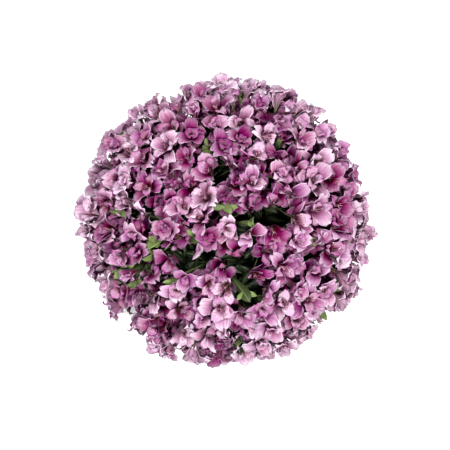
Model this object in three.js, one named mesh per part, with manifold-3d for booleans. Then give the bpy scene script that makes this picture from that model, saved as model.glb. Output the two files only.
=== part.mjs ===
// A hand-tied bouquet of alstroemeria: a round dome of mauve blooms on spiralled, leafy stems,
// bound at the waist with twine. It stands unheld on its splayed, evenly cut stem ends.
//
// Units are millimetres, +Z is up, and the origin is the middle of the centre stem's cut end.
// A flower stem is two solids: the green stem with its leaves, and on top of it the umbel, which
// is the swollen head with its pedicels and blooms. The twine is a third kind of piece.

import * as THREE from "three";
import { mergeVertices } from "three/addons/utils/BufferGeometryUtils.js";
import Module from "manifold-3d";

const wasm = await Module();
wasm.setup();

// ---------------------------------------------------------------- driving dimensions

const RIM_HEIGHT = 367; // the widest level of the dome, above the cut ends
const DOME_RADIUS = 263; // bloom middles at the rim, from the axis
const DOME_RISE = 168; // bloom middles at the crown, above the rim
const DOME_TUCK = 18; // how far the lowest blooms hang below the rim
const FOCUS_DEPTH = 60; // the umbels fan out from a point this far below the rim

const WAIST_HEIGHT = 170; // where the twine binds the stems
const STEM_RADIUS = 3;
const STEM_SIDES = 5;
const STEM_ARCH = 2.2; // power of the outward curve from the waist to the umbel
const ARCH_RINGS = [0, 0.3, 0.55, 0.78]; // of the stem's tube, as shares of the way up from the waist

// One row for each ring of stems: how many, the polar angle of their umbels on the dome in
// degrees, the blooms round the middle one of each umbel, and the slope of the spiral at the waist.
const RINGS = [
  { count: 1, polar: 0, outerBlooms: 6, slope: 0 },
  { count: 5, polar: 27.5, outerBlooms: 6, slope: 0.22 },
  { count: 9, polar: 51.5, outerBlooms: 6, slope: 0.42 },
  { count: 12, polar: 79.5, outerBlooms: 5, slope: 0.6 },
];

const WAIST_SPAN = { below: 40, above: 60, step: 2.5 }; // where the stems lie close to each other
const WIDEST_WAIST = 40; // no stem passes the axis further off than this at the waist
const PRESSED_TO = 0.02; // how exactly a stem is pressed against the others

const RING_TURN = 0.7; // from one ring of umbels to the next, in radians
const UMBEL_DRIFT = 0.04; // the most that an umbel is turned out of its place in its ring, in radians
const UMBEL_DEPTH = 82; // from the top of an umbel's head, where its pedicels start, to the dome
const START_RADIUS = 42; // of the ring of outer blooms before they are pressed together
const BLOOM_SPACING = 54; // neighbours closer than this press each other apart
const PRESSES = 300; // rounds of pressing
const PUSH = 0.15; // the share of the crowding that one round takes away
const HOMING = 0.003; // the share of the way back to its start that a bloom goes in one round
const BLOOM_JITTER = 9; // how far a bloom sits above or below the dome
const BLOOM_TILT = 0.2; // the most that a bloom nods to one side, as a slope
const BLOOM_RISE = 0.3; // how far a bloom turns from straight out of the dome towards straight up
const BLOOM_SIZE = { least: 0.94, more: 0.14 }; // against the measures below

// A bloom, measured from the top of its ovary along its own axis and out from it.
const BLOOM_MIDDLE = 18;
const THROAT = 9; // the bottom of the cup, inside
const NOTCH = { rise: 19, out: 8.5 };
const OUTER_TEPAL = { shoulder: { rise: 27, out: 18.5, half: 10 }, end: { rise: 36, out: 25, half: 6 } };
const INNER_TEPAL = { end: { rise: 38, out: 17, half: 6.2 } };
const TEPAL_PAIRS = 3; // one broad outer tepal and one narrow inner tepal each
const BLOOM_GAP = 0.5; // between blooms that press against each other
const NEIGHBOUR_REACH = 95; // no bloom further off than this can touch another
const BLOOM_ROOM = [{ from: 12, to: 20, radius: 12 }, { from: 26, to: 34, radius: 22 }]; // kept from leaves

const OVARY_RADIUS = 2.6; // where a pedicel widens into its bloom
const PEDICEL_RADIUS = 1.15; // at its root
const PEDICEL_SUNK = 2; // how far its root is sunk in the head
const PEDICEL_SPREAD = 2.4; // from the umbel's axis to an outer pedicel's root
const HEAD_LENGTH = 8; // the swollen end of the stem under the pedicels
const HEAD_RADIUS = 4.8; // of its flat top
const SEAT_GAP = 0.3; // between pieces that lie against each other

const LEAF_THICKNESS = 1.8; // at the midrib, from where the blade thins to its edge
const LEAF_CLEAR = 0.8; // between a leaf and whatever it grows past
const LEAF_TRIES = 14; // turns in which a leaf may look for a clear way
const LEAF_TURN = 1.1; // the most that a leaf is turned out of its even place round the stem
const LEAF_KNEE = 0.55; // where a leaf's midline bends, as a share of its length
const LEAF_REACH = 0.97; // how far its tip comes, as a share of its length, because it droops
const LEAF_DROOP = { least: 4, more: 14 };
const LEAF_WIDTH = { least: 11, more: 3 };

// The leaves close under the umbel and the ones lower on the stem: how many, where the first one
// grows, how far each next one is below it, how far they open from the stem and how long they are.
const WHORL = {
  count: 2, below: 12, step: 6, drift: 0, open: { least: 0.75, more: 0.5 }, length: { least: 52, more: 16 },
};
const LOWER = {
  count: 1, below: 45, step: 45, drift: 20, open: { least: 0.7, more: 0.4 }, length: { least: 66, more: 24 },
};

// Places on the dome, as x and y from the axis, where a leaf comes up between the blooms.
const PEEKING_LEAVES = [
  [40, 244], [-191, 171], [-34, 156], [103, 163], [54, 102], [222, 94], [4, 31], [67, 3], [165, -43],
  [-279, 8], [-199, 10], [-135, -34], [-128, -70], [-199, -93], [-103, -105], [-164, -124], [-61, -24],
  [215, -127], [37, -129], [-148, -212], [-164, -238], [-80, -261], [21, -228], [187, -181],
];
const LEAF_PLACE_SHARE = 0.55; // the room that such a leaf takes, as a share of a bloom's
const PEEK = {
  width: 14,
  above: 12, // its tip, over the dome
  nod: 13, // how far the tip leans to one side
  kneeBelow: 22, // where it bends, under the dome
  cellDepth: 40, // how deep the blooms round it leave it its own cell
  stems: 5, // the nearest stems are tried in turn
  rootsBelow: [16, 26, 38, 52, 68], // under the umbel, tried in turn on each stem
};

const TWINE = { rope: 3.2, turns: 3, segments: 16, knot: 6, tail: 14 };

// ---------------------------------------------------------------- materials

const petalMauve = new THREE.MeshStandardMaterial({ color: 0x9b6488, roughness: 0.6, metalness: 0 });
const leafGreen = new THREE.MeshStandardMaterial({ color: 0x56683a, roughness: 0.55, metalness: 0 });
const twineTan = new THREE.MeshStandardMaterial({ color: 0xb79a68, roughness: 0.9, metalness: 0 });

// ---------------------------------------------------------------- small helpers

const point = (x, y, z) => new THREE.Vector3(x, y, z);
const mix = (a, b, t) => a.clone().lerp(b, t);
const along = (start, direction, distance) => start.clone().addScaledVector(direction, distance);
const UP = point(0, 0, 1);

// The same seed always gives the same draws, each from 0 to 1.
function seededDraws(seed) {
  let state = seed >>> 0;
  return () => {
    state = (state + 0x6d2b79f5) >>> 0;
    let t = Math.imul(state ^ (state >>> 15), state | 1);
    t ^= t + Math.imul(t ^ (t >>> 7), t | 61);
    return ((t ^ (t >>> 14)) >>> 0) / 4294967296;
  };
}

function spread(draw, most) {
  return (2 * draw() - 1) * most;
}

function between(draw, { least, more }) {
  return least + more * draw();
}

// Two unit vectors across a direction.
function across(direction) {
  const helper = Math.abs(direction.z) < 0.9 ? UP : point(1, 0, 0);
  const first = helper.clone().cross(direction).normalize();
  return [first, direction.clone().cross(first)];
}

// ---------------------------------------------------------------- solids and meshes

function solidFrom(geometry) {
  const bare = geometry.clone();
  bare.deleteAttribute("normal");
  bare.deleteAttribute("uv");
  const merged = mergeVertices(bare, 1e-4);
  return new wasm.Manifold(new wasm.Mesh({
    numProp: 3,
    vertProperties: new Float32Array(merged.attributes.position.array),
    triVerts: new Uint32Array(merged.index.array),
  }));
}

function meshOf(name, solid, material) {
  const pieces = solid.decompose().length;
  if (pieces !== 1) throw new Error(`${name} is in ${pieces} pieces`);
  const { vertProperties, triVerts } = solid.getMesh();
  const geometry = new THREE.BufferGeometry();
  geometry.setAttribute("position", new THREE.BufferAttribute(new Float32Array(vertProperties), 3));
  geometry.setIndex(new THREE.BufferAttribute(new Uint32Array(triVerts), 1));
  geometry.computeVertexNormals();
  const mesh = new THREE.Mesh(geometry, material);
  mesh.name = name;
  return mesh;
}

// The corners of a regular ring round a middle, from two unit vectors across its direction.
function ringOf(sides, middle, [first, second], radius, turn = 0) {
  return Array.from({ length: sides }, (_, i) => {
    const angle = turn + (2 * Math.PI * i) / sides;
    return along(along(middle, first, radius * Math.cos(angle)), second, radius * Math.sin(angle));
  });
}

// A tube through rings that have the same number of corners, with a fan across each end.
function tubeThrough(rings) {
  const sides = rings[0].length;
  const faces = [];
  for (let r = 0; r + 1 < rings.length; r += 1) {
    for (let i = 0; i < sides; i += 1) {
      const next = (i + 1) % sides;
      const [low, high] = [r * sides, (r + 1) * sides];
      faces.push([low + i, low + next, high + next], [low + i, high + next, high + i]);
    }
  }
  const top = (rings.length - 1) * sides;
  for (let i = 1; i + 1 < sides; i += 1) faces.push([0, i + 1, i], [top, top + i, top + i + 1]);
  return new THREE.BufferGeometry().setFromPoints(rings.flat()).setIndex(faces.flat());
}

// ---------------------------------------------------------------- the dome

const focus = point(0, 0, RIM_HEIGHT - FOCUS_DEPTH);

// The nearest way back on to the dome, and never below its tucked-in edge.
function ontoDome(place) {
  const onUnit = point(place.x / DOME_RADIUS, place.y / DOME_RADIUS, (place.z - RIM_HEIGHT) / DOME_RISE);
  onUnit.normalize();
  const lowest = -DOME_TUCK / DOME_RISE;
  if (onUnit.z < lowest) {
    const level = Math.hypot(onUnit.x, onUnit.y);
    const reach = Math.sqrt(1 - lowest * lowest);
    onUnit.set((onUnit.x / level) * reach, (onUnit.y / level) * reach, lowest);
  }
  return point(onUnit.x * DOME_RADIUS, onUnit.y * DOME_RADIUS, RIM_HEIGHT + onUnit.z * DOME_RISE);
}

function domeNormal(place) {
  return point(
    place.x / DOME_RADIUS ** 2, place.y / DOME_RADIUS ** 2, (place.z - RIM_HEIGHT) / DOME_RISE ** 2,
  ).normalize();
}

function makeUmbels() {
  const draw = seededDraws(11);
  const umbels = [];
  RINGS.forEach((ring, r) => {
    const polar = THREE.MathUtils.degToRad(ring.polar);
    for (let k = 0; k < ring.count; k += 1) {
      const drift = spread(draw, UMBEL_DRIFT) * Math.sign(r);
      const azimuth = r * RING_TURN + (2 * Math.PI * k) / ring.count + drift;
      const place = point(
        DOME_RADIUS * Math.sin(polar) * Math.cos(azimuth),
        DOME_RADIUS * Math.sin(polar) * Math.sin(azimuth),
        RIM_HEIGHT + DOME_RISE * Math.cos(polar),
      );
      const axis = place.clone().sub(focus).normalize();
      const head = along(place, axis, -UMBEL_DEPTH);
      const neck = along(head, axis, -HEAD_LENGTH);
      umbels.push({ ring, azimuth, place, axis, head, neck, waist: 0, blooms: [], leaves: [] });
    }
  });
  return umbels;
}

// Every bloom starts in a flower shape round its umbel and is pressed into an even cover by its
// neighbours. A leaf's place stays where it is, and the blooms make room for it.
function settlePlaces(umbels) {
  const draw = seededDraws(23);
  const places = [];
  umbels.forEach((umbel, u) => {
    const [east, north] = across(umbel.axis);
    const turn = draw() * Math.PI;
    places.push({ umbel: u, share: 1, at: umbel.place.clone() });
    const { outerBlooms } = umbel.ring;
    for (let i = 0; i < outerBlooms; i += 1) {
      const angle = turn + (2 * Math.PI * i) / outerBlooms;
      const outward = along(east.clone().multiplyScalar(Math.cos(angle)), north, Math.sin(angle));
      const start = along(umbel.place, outward, START_RADIUS);
      places.push({ umbel: u, share: 1, at: ontoDome(start) });
    }
  });
  for (const [x, y] of PEEKING_LEAVES) {
    const level = Math.min(Math.hypot(x, y) / DOME_RADIUS, 1);
    const at = ontoDome(point(x, y, RIM_HEIGHT + DOME_RISE * Math.sqrt(1 - level * level)));
    let nearest = 0;
    umbels.forEach((umbel, u) => {
      if (umbel.place.distanceTo(at) < umbels[nearest].place.distanceTo(at)) nearest = u;
    });
    places.push({ umbel: nearest, share: LEAF_PLACE_SHARE, at });
  }

  const homes = places.map((place) => place.at.clone());
  for (let press = 0; press < PRESSES; press += 1) {
    const moved = places.map((place, i) => {
      if (place.share < 1) return place.at;
      const step = homes[i].clone().sub(place.at).multiplyScalar(HOMING);
      places.forEach((other, j) => {
        if (j === i) return;
        const apart = place.at.clone().sub(other.at);
        const distance = apart.length();
        const wanted = BLOOM_SPACING * (place.share + other.share) * 0.5;
        if (distance < wanted) step.addScaledVector(apart, (PUSH * (wanted - distance)) / distance);
      });
      return ontoDome(place.at.clone().add(step));
    });
    places.forEach((place, i) => {
      place.at = moved[i];
    });
  }
  return places;
}

// ---------------------------------------------------------------- blooms

// Each place keeps to its own cell: planes between it and its neighbours, shared by size.
function cellPlanes(place, places) {
  return places
    .filter((other) => other !== place && other.middle.distanceTo(place.middle) < NEIGHBOUR_REACH)
    .map((other) => {
      const normal = other.middle.clone().sub(place.middle).normalize();
      const border = mix(place.middle, other.middle, place.share / (place.share + other.share));
      return { normal, offset: normal.dot(border) - BLOOM_GAP / 2 };
    });
}

// Moves a point towards the axis of its own cell until it is inside every plane.
function keepInCell(spot, place) {
  const onAxis = along(place.base, place.axis, spot.clone().sub(place.base).dot(place.axis));
  let pull = 0;
  for (const { normal, offset } of place.planes) {
    const over = normal.dot(spot) - offset;
    if (over > 0) pull = Math.max(pull, over / normal.dot(spot.clone().sub(onAxis)));
  }
  return mix(spot, onAxis, Math.min(pull, 1));
}

// The rim of a bloom. For each pair of tepals it is a notch, the four corners of the broad outer
// one, a notch, and the two corners of the narrow inner one.
function bloomRim(place) {
  const [east, north] = across(place.axis);
  const corner = (angle, { rise, out, half = 0 }, side, size) => {
    const outward = along(east.clone().multiplyScalar(Math.cos(angle)), north, Math.sin(angle));
    const sideways = along(east.clone().multiplyScalar(-Math.sin(angle)), north, Math.cos(angle));
    const spot = along(along(place.base, place.axis, rise), outward, out * size);
    return keepInCell(along(spot, sideways, side * half * size), place);
  };
  const tepal = Math.PI / TEPAL_PAIRS;
  const rim = [];
  for (let k = 0; k < TEPAL_PAIRS; k += 1) {
    const angle = place.turn + 2 * tepal * k;
    rim.push(
      corner(angle - tepal / 2, NOTCH, 0, 1),
      corner(angle, OUTER_TEPAL.shoulder, -1, place.size),
      corner(angle, OUTER_TEPAL.end, -1, place.size),
      corner(angle, OUTER_TEPAL.end, 1, place.size),
      corner(angle, OUTER_TEPAL.shoulder, 1, place.size),
      corner(angle + tepal / 2, NOTCH, 0, 1),
      corner(angle + tepal, INNER_TEPAL.end, -1, place.size),
      corner(angle + tepal, INNER_TEPAL.end, 1, place.size),
    );
  }
  return rim;
}

// One closed skin: a three-sided pedicel that widens into the outside of the cup, and a fan from
// the throat to the rim inside it.
function bloomOnPedicel(umbel, place) {
  const rim = bloomRim(place);
  const tepal = Math.PI / TEPAL_PAIRS;
  const ovary = ringOf(TEPAL_PAIRS, place.base, across(place.axis), OVARY_RADIUS, place.turn + tepal / 2);
  const { root, direction } = pedicelLine(umbel, place);
  const foot = ovary.map((corner) => {
    const outward = corner.clone().sub(place.base);
    outward.addScaledVector(direction, -outward.dot(direction));
    return root.clone().add(outward.setLength(PEDICEL_RADIUS));
  });
  const throat = along(place.base, place.axis, THROAT);
  const points = [...foot, ...ovary, ...rim, throat];
  const rimStart = 2 * TEPAL_PAIRS;
  const perPair = rim.length / TEPAL_PAIRS;
  const faces = [[2, 1, 0]];
  for (let k = 0; k < TEPAL_PAIRS; k += 1) {
    const next = (k + 1) % TEPAL_PAIRS;
    faces.push([k, next, TEPAL_PAIRS + next], [k, TEPAL_PAIRS + next, TEPAL_PAIRS + k]);
    faces.push([TEPAL_PAIRS + k, TEPAL_PAIRS + next, rimStart + next * perPair]);
  }
  rim.forEach((_, i) => {
    const next = (i + 1) % rim.length;
    const pair = Math.floor(i / perPair);
    faces.push([TEPAL_PAIRS + pair, rimStart + next, rimStart + i]);
    faces.push([points.length - 1, rimStart + i, rimStart + next]);
  });
  return new THREE.BufferGeometry().setFromPoints(points).setIndex(faces.flat());
}

// From the flat top of the head to the bloom.
function pedicelLine(umbel, bloom) {
  const root = along(umbel.head, umbel.axis, -PEDICEL_SUNK);
  const outward = bloom.base.clone().sub(umbel.head);
  outward.addScaledVector(umbel.axis, -outward.dot(umbel.axis));
  if (bloom !== umbel.blooms[0]) root.add(outward.setLength(PEDICEL_SPREAD));
  return { root, direction: bloom.base.clone().sub(root).normalize() };
}

// The swollen end of the stem, on which the umbel grows.
function umbelHead(umbel) {
  const sides = stemSides(umbel, umbel.axis);
  return tubeThrough([
    ringOf(STEM_SIDES, umbel.neck, sides, STEM_RADIUS),
    ringOf(STEM_SIDES, umbel.head, sides, HEAD_RADIUS),
  ]);
}

// ---------------------------------------------------------------- stems

// Straight from the cut end through the waist, and from there out to the neck of the umbel.
class StemPath extends THREE.Curve {
  constructor(umbel) {
    super();
    this.umbel = umbel;
    const { ring, azimuth, neck, waist } = umbel;
    this.climb = neck.z - WAIST_HEIGHT;
    this.start = azimuth - Math.atan2(ring.slope * this.climb, waist);
    const straight = Math.hypot(waist, ring.slope * this.climb);
    this.arch = Math.hypot(neck.x, neck.y) - straight;
  }

  getPoint(t) {
    const { ring, neck, waist } = this.umbel;
    const z = neck.z * t;
    const lean = ring.slope * (z - WAIST_HEIGHT);
    const x = waist * Math.cos(this.start) - lean * Math.sin(this.start);
    const y = waist * Math.sin(this.start) + lean * Math.cos(this.start);
    const risen = Math.max(z - WAIST_HEIGHT, 0) / this.climb;
    const radius = Math.hypot(x, y) || 1;
    const stretch = 1 + (this.arch * risen ** STEM_ARCH) / radius;
    return point(x * stretch, y * stretch, z);
  }
}

// Two unit vectors across a direction, turned the same way all along one stem.
function stemSides(umbel, direction) {
  const sideways = point(-Math.sin(umbel.azimuth), Math.cos(umbel.azimuth), 0);
  const first = along(sideways, direction, -sideways.dot(direction)).normalize();
  return [first, direction.clone().cross(first)];
}

// The foot is cut level with the floor, and the top is cut across under the umbel's head.
function stemRings(umbel) {
  const path = new StemPath(umbel);
  const ring = (middle, direction) => ringOf(STEM_SIDES, middle, stemSides(umbel, direction), STEM_RADIUS);
  const upward = path.getTangent(0);
  return [
    ring(path.getPoint(0), upward).map((corner) => along(corner, upward, -corner.z / upward.z)),
    ...ARCH_RINGS.map((share) => {
      const t = THREE.MathUtils.lerp(WAIST_HEIGHT, umbel.neck.z, share) / umbel.neck.z;
      return ring(path.getPoint(t), path.getTangent(t));
    }),
    ring(along(umbel.neck, umbel.axis, -SEAT_GAP), umbel.axis),
  ];
}

// Where a level plane cuts the edges of a stem.
function levelSection(rings, z) {
  return rings[0].map((_, i) => {
    const above = rings.findIndex((ring) => ring[i].z > z);
    const [low, high] = [rings[above - 1][i], rings[above][i]];
    return mix(low, high, (z - low.z) / (high.z - low.z));
  });
}

// The sections of a stem at every level of the waist's span.
function waistSections(umbel) {
  const rings = stemRings(umbel);
  const sections = [];
  for (let z = WAIST_HEIGHT - WAIST_SPAN.below; z <= WAIST_HEIGHT + WAIST_SPAN.above; z += WAIST_SPAN.step) {
    sections.push(levelSection(rings, z));
  }
  return sections;
}

// How far apart two sections at one level are, across the side that parts them most.
function gapBetween(section, other) {
  const partings = (one, two) => one.map((corner, i) => {
    const side = one[(i + 1) % one.length].clone().sub(corner);
    const outward = point(side.y, -side.x, 0).normalize();
    return Math.min(...two.map((spot) => spot.clone().sub(corner).dot(outward)));
  });
  return Math.max(...partings(section, other), ...partings(other, section));
}

// Each stem is pressed in towards the axis at the waist until it lies against those inside it.
function pressStems(umbels) {
  const inside = [];
  const outOfReach = 4 * STEM_RADIUS * Math.hypot(1, RINGS.at(-1).slope) + SEAT_GAP;
  for (const umbel of umbels) {
    const isFree = (waist) => {
      umbel.waist = waist;
      return waistSections(umbel).every((section, level) => inside.every((stem) => {
        const other = stem[level];
        return section[0].distanceTo(other[0]) > outOfReach || gapBetween(section, other) > SEAT_GAP;
      }));
    };
    let blocked = 0;
    let free = isFree(blocked) ? blocked : WIDEST_WAIST;
    while (free - blocked > PRESSED_TO) {
      const halfway = (free + blocked) / 2;
      if (isFree(halfway)) free = halfway;
      else blocked = halfway;
    }
    umbel.waist = free;
    inside.push(waistSections(umbel));
  }
}

// ---------------------------------------------------------------- leaves

// A leaf is a bent midline from root over knee to tip, and the direction across its blade.
function onMidline({ root, knee, tip }, t) {
  return mix(mix(root, knee, t), mix(knee, tip, t), t);
}

const BLADE = [[0.26, 0.36], [0.6, 0.5]]; // along the midline, half-width as a share of the width
const STALKED_BLADE = [[0.4, 0.2], [0.72, 0.5]];
const MIDRIB_AT = 0.4; // where the blade is thickest

function leafRim({ blade, side, width, root, tip, ...leaf }) {
  const edge = ([t, share], sign) => along(onMidline({ root, tip, ...leaf }, t), side, sign * share * width);
  return [
    root.clone(),
    ...blade.map((station) => edge(station, -1)),
    tip.clone(),
    ...blade.toReversed().map((station) => edge(station, 1)),
  ];
}

// A closed blade: one fan from its rim to a point on the face, and one to a point under it.
function leafBlade(leaf) {
  const rim = leaf.rim ?? leafRim(leaf);
  const rib = mix(mix(rim[1], rim[5], 0.5), mix(rim[2], rim[4], 0.5), MIDRIB_AT);
  const face = rim[5].clone().sub(rim[1]).cross(rim[3].clone().sub(rim[0])).normalize();
  const points = [...rim, along(rib, face, LEAF_THICKNESS / 2), along(rib, face, -LEAF_THICKNESS / 2)];
  const faces = rim.flatMap((_, i) => {
    const next = (i + 1) % rim.length;
    return [[rim.length, next, i], [rim.length + 1, i, next]];
  });
  return new THREE.BufferGeometry().setFromPoints(points).setIndex(faces.flat());
}

// What a leaf must stay clear of, as thick lines: [start, end, radius].
const taken = [];

function distanceToLine(spot, start, end) {
  const run = end.clone().sub(start);
  const t = THREE.MathUtils.clamp(spot.clone().sub(start).dot(run) / run.lengthSq(), 0, 1);
  return spot.distanceTo(along(start, run, t));
}

// Samples of the midline, as [how far along, half-width there as a share of the width].
const FREE_SAMPLES = [[0.26, 0.36], [0.45, 0.46], [0.6, 0.5], [0.75, 0.36], [0.9, 0.15], [1, 0.02]];
const STALK_SAMPLES = [
  [0.08, 0.05], [0.13, 0.07], [0.2, 0.1], [0.3, 0.16], [0.4, 0.2], [0.5, 0.3], [0.6, 0.4],
];

function isClear(leaf, samples) {
  return samples.every(([t, share]) => {
    const spot = onMidline(leaf, t);
    const room = leaf.width * share + LEAF_CLEAR;
    return taken.every(([start, end, radius]) => distanceToLine(spot, start, end) > radius + room);
  });
}

const ROOM_FROM = 0.2; // along the midline, so that leaves may share a root
const ROOM_SHARE = 0.4; // the leaf's own room to each side, as a share of its width

function takeRoom(leaf) {
  const middle = onMidline(leaf, 0.5);
  const radius = leaf.width * ROOM_SHARE;
  taken.push([onMidline(leaf, ROOM_FROM), middle, radius], [middle, leaf.tip.clone(), radius]);
}

// A leaf that comes up between the blooms to its own place on the dome, from the first stem that
// gives it a clear way.
function peekingLeaf(place, draw) {
  const [east, north] = across(place.axis);
  const angle = draw() * 2 * Math.PI;
  const nod = along(east.clone().multiplyScalar(Math.cos(angle)), north, Math.sin(angle));
  const tip = along(along(place.at, place.normal, PEEK.above), nod, PEEK.nod);
  const knee = along(place.at, place.normal, -PEEK.kneeBelow);
  const nearby = umbels.toSorted((a, b) => a.place.distanceTo(place.at) - b.place.distanceTo(place.at));
  for (const umbel of nearby.slice(0, PEEK.stems)) {
    const path = new StemPath(umbel);
    for (const below of PEEK.rootsBelow) {
      const root = path.getPointAt(1 - below / path.getLength());
      const leaf = { root, knee, tip, width: PEEK.width, blade: STALKED_BLADE };
      leaf.side = nod.clone().cross(tip.clone().sub(root)).normalize();
      if (!isClear(leaf, STALK_SAMPLES)) continue;
      leaf.rim = leafRim(leaf).map((spot) => {
        const deep = spot.clone().sub(place.at).dot(place.normal) < -PEEK.cellDepth;
        return deep ? spot : keepInCell(spot, place);
      });
      umbel.leaves.push(leaf);
      takeRoom(leaf);
      return;
    }
  }
  throw new Error(`no way up for the leaf at ${place.at.toArray().map(Math.round)}`);
}

function freeLeaf(root, direction, length, droop, width) {
  const knee = along(root, direction, length * LEAF_KNEE);
  const tip = along(along(root, direction, length * LEAF_REACH), UP, -droop);
  const side = direction.clone().cross(UP).normalize();
  return { root, knee, tip, side, width, blade: BLADE };
}

// The leaves of one group on one stem, each turned until it is clear.
function growLeaves(umbel, group, draw) {
  const path = new StemPath(umbel);
  for (let i = 0; i < group.count; i += 1) {
    for (let attempt = 0; attempt < LEAF_TRIES; attempt += 1) {
      const below = group.below + group.step * i + group.drift * draw();
      const at = 1 - below / path.getLength();
      const stemward = path.getTangentAt(at);
      const [east, north] = across(stemward);
      const angle = (2 * Math.PI * i) / WHORL.count + spread(draw, LEAF_TURN);
      const open = between(draw, group.open);
      const outward = along(east.clone().multiplyScalar(Math.cos(angle)), north, Math.sin(angle));
      const direction = along(stemward.clone().multiplyScalar(Math.cos(open)), outward, Math.sin(open));
      const length = between(draw, group.length);
      const droop = between(draw, LEAF_DROOP);
      const leaf = freeLeaf(path.getPointAt(at), direction, length, droop, between(draw, LEAF_WIDTH));
      if (isClear(leaf, FREE_SAMPLES)) {
        umbel.leaves.push(leaf);
        takeRoom(leaf);
        break;
      }
    }
  }
}

// ---------------------------------------------------------------- twine

// The lowest, middle and highest level that the twine covers.
function twineLevels() {
  const half = (TWINE.rope * TWINE.turns) / 2;
  return [WAIST_HEIGHT - half, WAIST_HEIGHT, WAIST_HEIGHT + half];
}

// A few turns of twine side by side: a ring whose outside has a ridge for each turn.
function twineTurns(inner) {
  const { rope, turns, segments } = TWINE;
  const groove = inner + rope * 0.6;
  const low = WAIST_HEIGHT - (rope * turns) / 2;
  const profile = [new THREE.Vector2(inner, low)];
  for (let k = 0; k < turns; k += 1) {
    profile.push(new THREE.Vector2(groove, low + rope * k));
    profile.push(new THREE.Vector2(inner + rope, low + rope * (k + 0.5)));
  }
  profile.push(new THREE.Vector2(groove, low + rope * turns));
  profile.push(new THREE.Vector2(inner, low + rope * turns));
  profile.push(profile[0].clone());
  return new THREE.LatheGeometry(profile, segments).rotateX(Math.PI / 2);
}

// The knot sits on the turns, and its two cut tails hang down over the stems.
function twineKnot(inner) {
  const { rope, knot, tail } = TWINE;
  const seat = inner + rope;
  const lump = new THREE.IcosahedronGeometry(knot, 0).scale(0.8, 1, 1).translate(seat, 0, WAIST_HEIGHT);
  const section = new THREE.Shape();
  section.moveTo(rope / 2, 0).lineTo(0, rope / 2).lineTo(-rope / 2, 0).lineTo(0, -rope / 2).closePath();
  const tails = [-1, 1].map((side) => {
    const way = new THREE.QuadraticBezierCurve3(
      point(seat, side, WAIST_HEIGHT),
      point(seat + tail * 0.2, side * tail * 0.2, WAIST_HEIGHT - tail * 0.4),
      point(seat + tail * 0.36, side * tail * 0.5, WAIST_HEIGHT - tail * (1 + side * 0.08)),
    );
    return new THREE.ExtrudeGeometry(section, { steps: 3, extrudePath: way, bevelEnabled: false });
  });
  return [lump, ...tails];
}

// ---------------------------------------------------------------- the bouquet

const umbels = makeUmbels();
pressStems(umbels);
const places = settlePlaces(umbels);
const bloomDraw = seededDraws(37);
for (const place of places) {
  const isBloom = place.share === 1;
  place.normal = domeNormal(place.at);
  place.axis = mix(place.normal, UP, BLOOM_RISE);
  if (isBloom) {
    const nod = [1, 2, 3].map(() => spread(bloomDraw, BLOOM_TILT));
    place.axis.add(point(...nod));
  }
  place.axis.normalize();
  place.middle = along(place.at, place.normal, isBloom ? spread(bloomDraw, BLOOM_JITTER) : 0);
  place.base = along(place.middle, place.axis, -BLOOM_MIDDLE);
  place.turn = bloomDraw() * 2 * Math.PI;
  place.size = between(bloomDraw, BLOOM_SIZE);
}
for (const place of places) place.planes = cellPlanes(place, places);

const STEM_SPANS = 12; // straight lines that stand for a curved stem where leaves keep clear of it
for (const umbel of umbels) {
  const spots = new StemPath(umbel).getPoints(STEM_SPANS);
  for (let i = 0; i < STEM_SPANS; i += 1) taken.push([spots[i], spots[i + 1], STEM_RADIUS]);
  taken.push([umbel.neck, umbel.head, HEAD_RADIUS]);
}
for (const place of places.filter(({ share }) => share === 1)) {
  const umbel = umbels[place.umbel];
  umbel.blooms.push(place);
  taken.push([pedicelLine(umbel, place).root, place.base, OVARY_RADIUS]);
  for (const { from, to, radius } of BLOOM_ROOM) {
    taken.push([along(place.base, place.axis, from), along(place.base, place.axis, to), radius]);
  }
}

const leafDraw = seededDraws(53);
for (const place of places.filter(({ share }) => share < 1)) peekingLeaf(place, leafDraw);
for (const umbel of umbels) growLeaves(umbel, WHORL, leafDraw);
for (const umbel of umbels) growLeaves(umbel, LOWER, leafDraw);

const bouquet = new THREE.Group();
umbels.forEach((umbel, u) => {
  const number = String(u + 1).padStart(2, "0");
  let head = solidFrom(umbelHead(umbel));
  for (const bloom of umbel.blooms) head = head.add(solidFrom(bloomOnPedicel(umbel, bloom)));
  bouquet.add(meshOf(`umbel_${number}`, head, petalMauve));

  let stem = solidFrom(tubeThrough(stemRings(umbel)));
  for (const leaf of umbel.leaves) stem = stem.add(solidFrom(leafBlade(leaf)));
  bouquet.add(meshOf(`stem_${number}`, stem, leafGreen));
});

const bound = umbels.flatMap((umbel) => twineLevels().flatMap((z) => levelSection(stemRings(umbel), z)));
const widest = Math.max(...bound.map(({ x, y }) => Math.hypot(x, y)));
const inner = (widest + SEAT_GAP) / Math.cos(Math.PI / TWINE.segments);
const tie = [twineTurns(inner), ...twineKnot(inner)].map(solidFrom).reduce((all, one) => all.add(one));
bouquet.add(meshOf("tie", tie, twineTan));

export default bouquet;
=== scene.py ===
# %% [markdown]
# # A hand-tied bouquet of alstroemeria
#
# The bouquet is a dome of mauve blooms on spiralled, leafy stems, bound with twine and standing on
# its cut ends. A plain faceted model of it comes first, as the frame. This notebook grows the real
# look round that frame: thin curled tepals, stamens, buds, round stems, veined leaves and wound
# twine. Every piece is made where the frame has its plain solid, so nothing is fitted afterwards.

# %% Open the frame
import math
from types import SimpleNamespace

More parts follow.
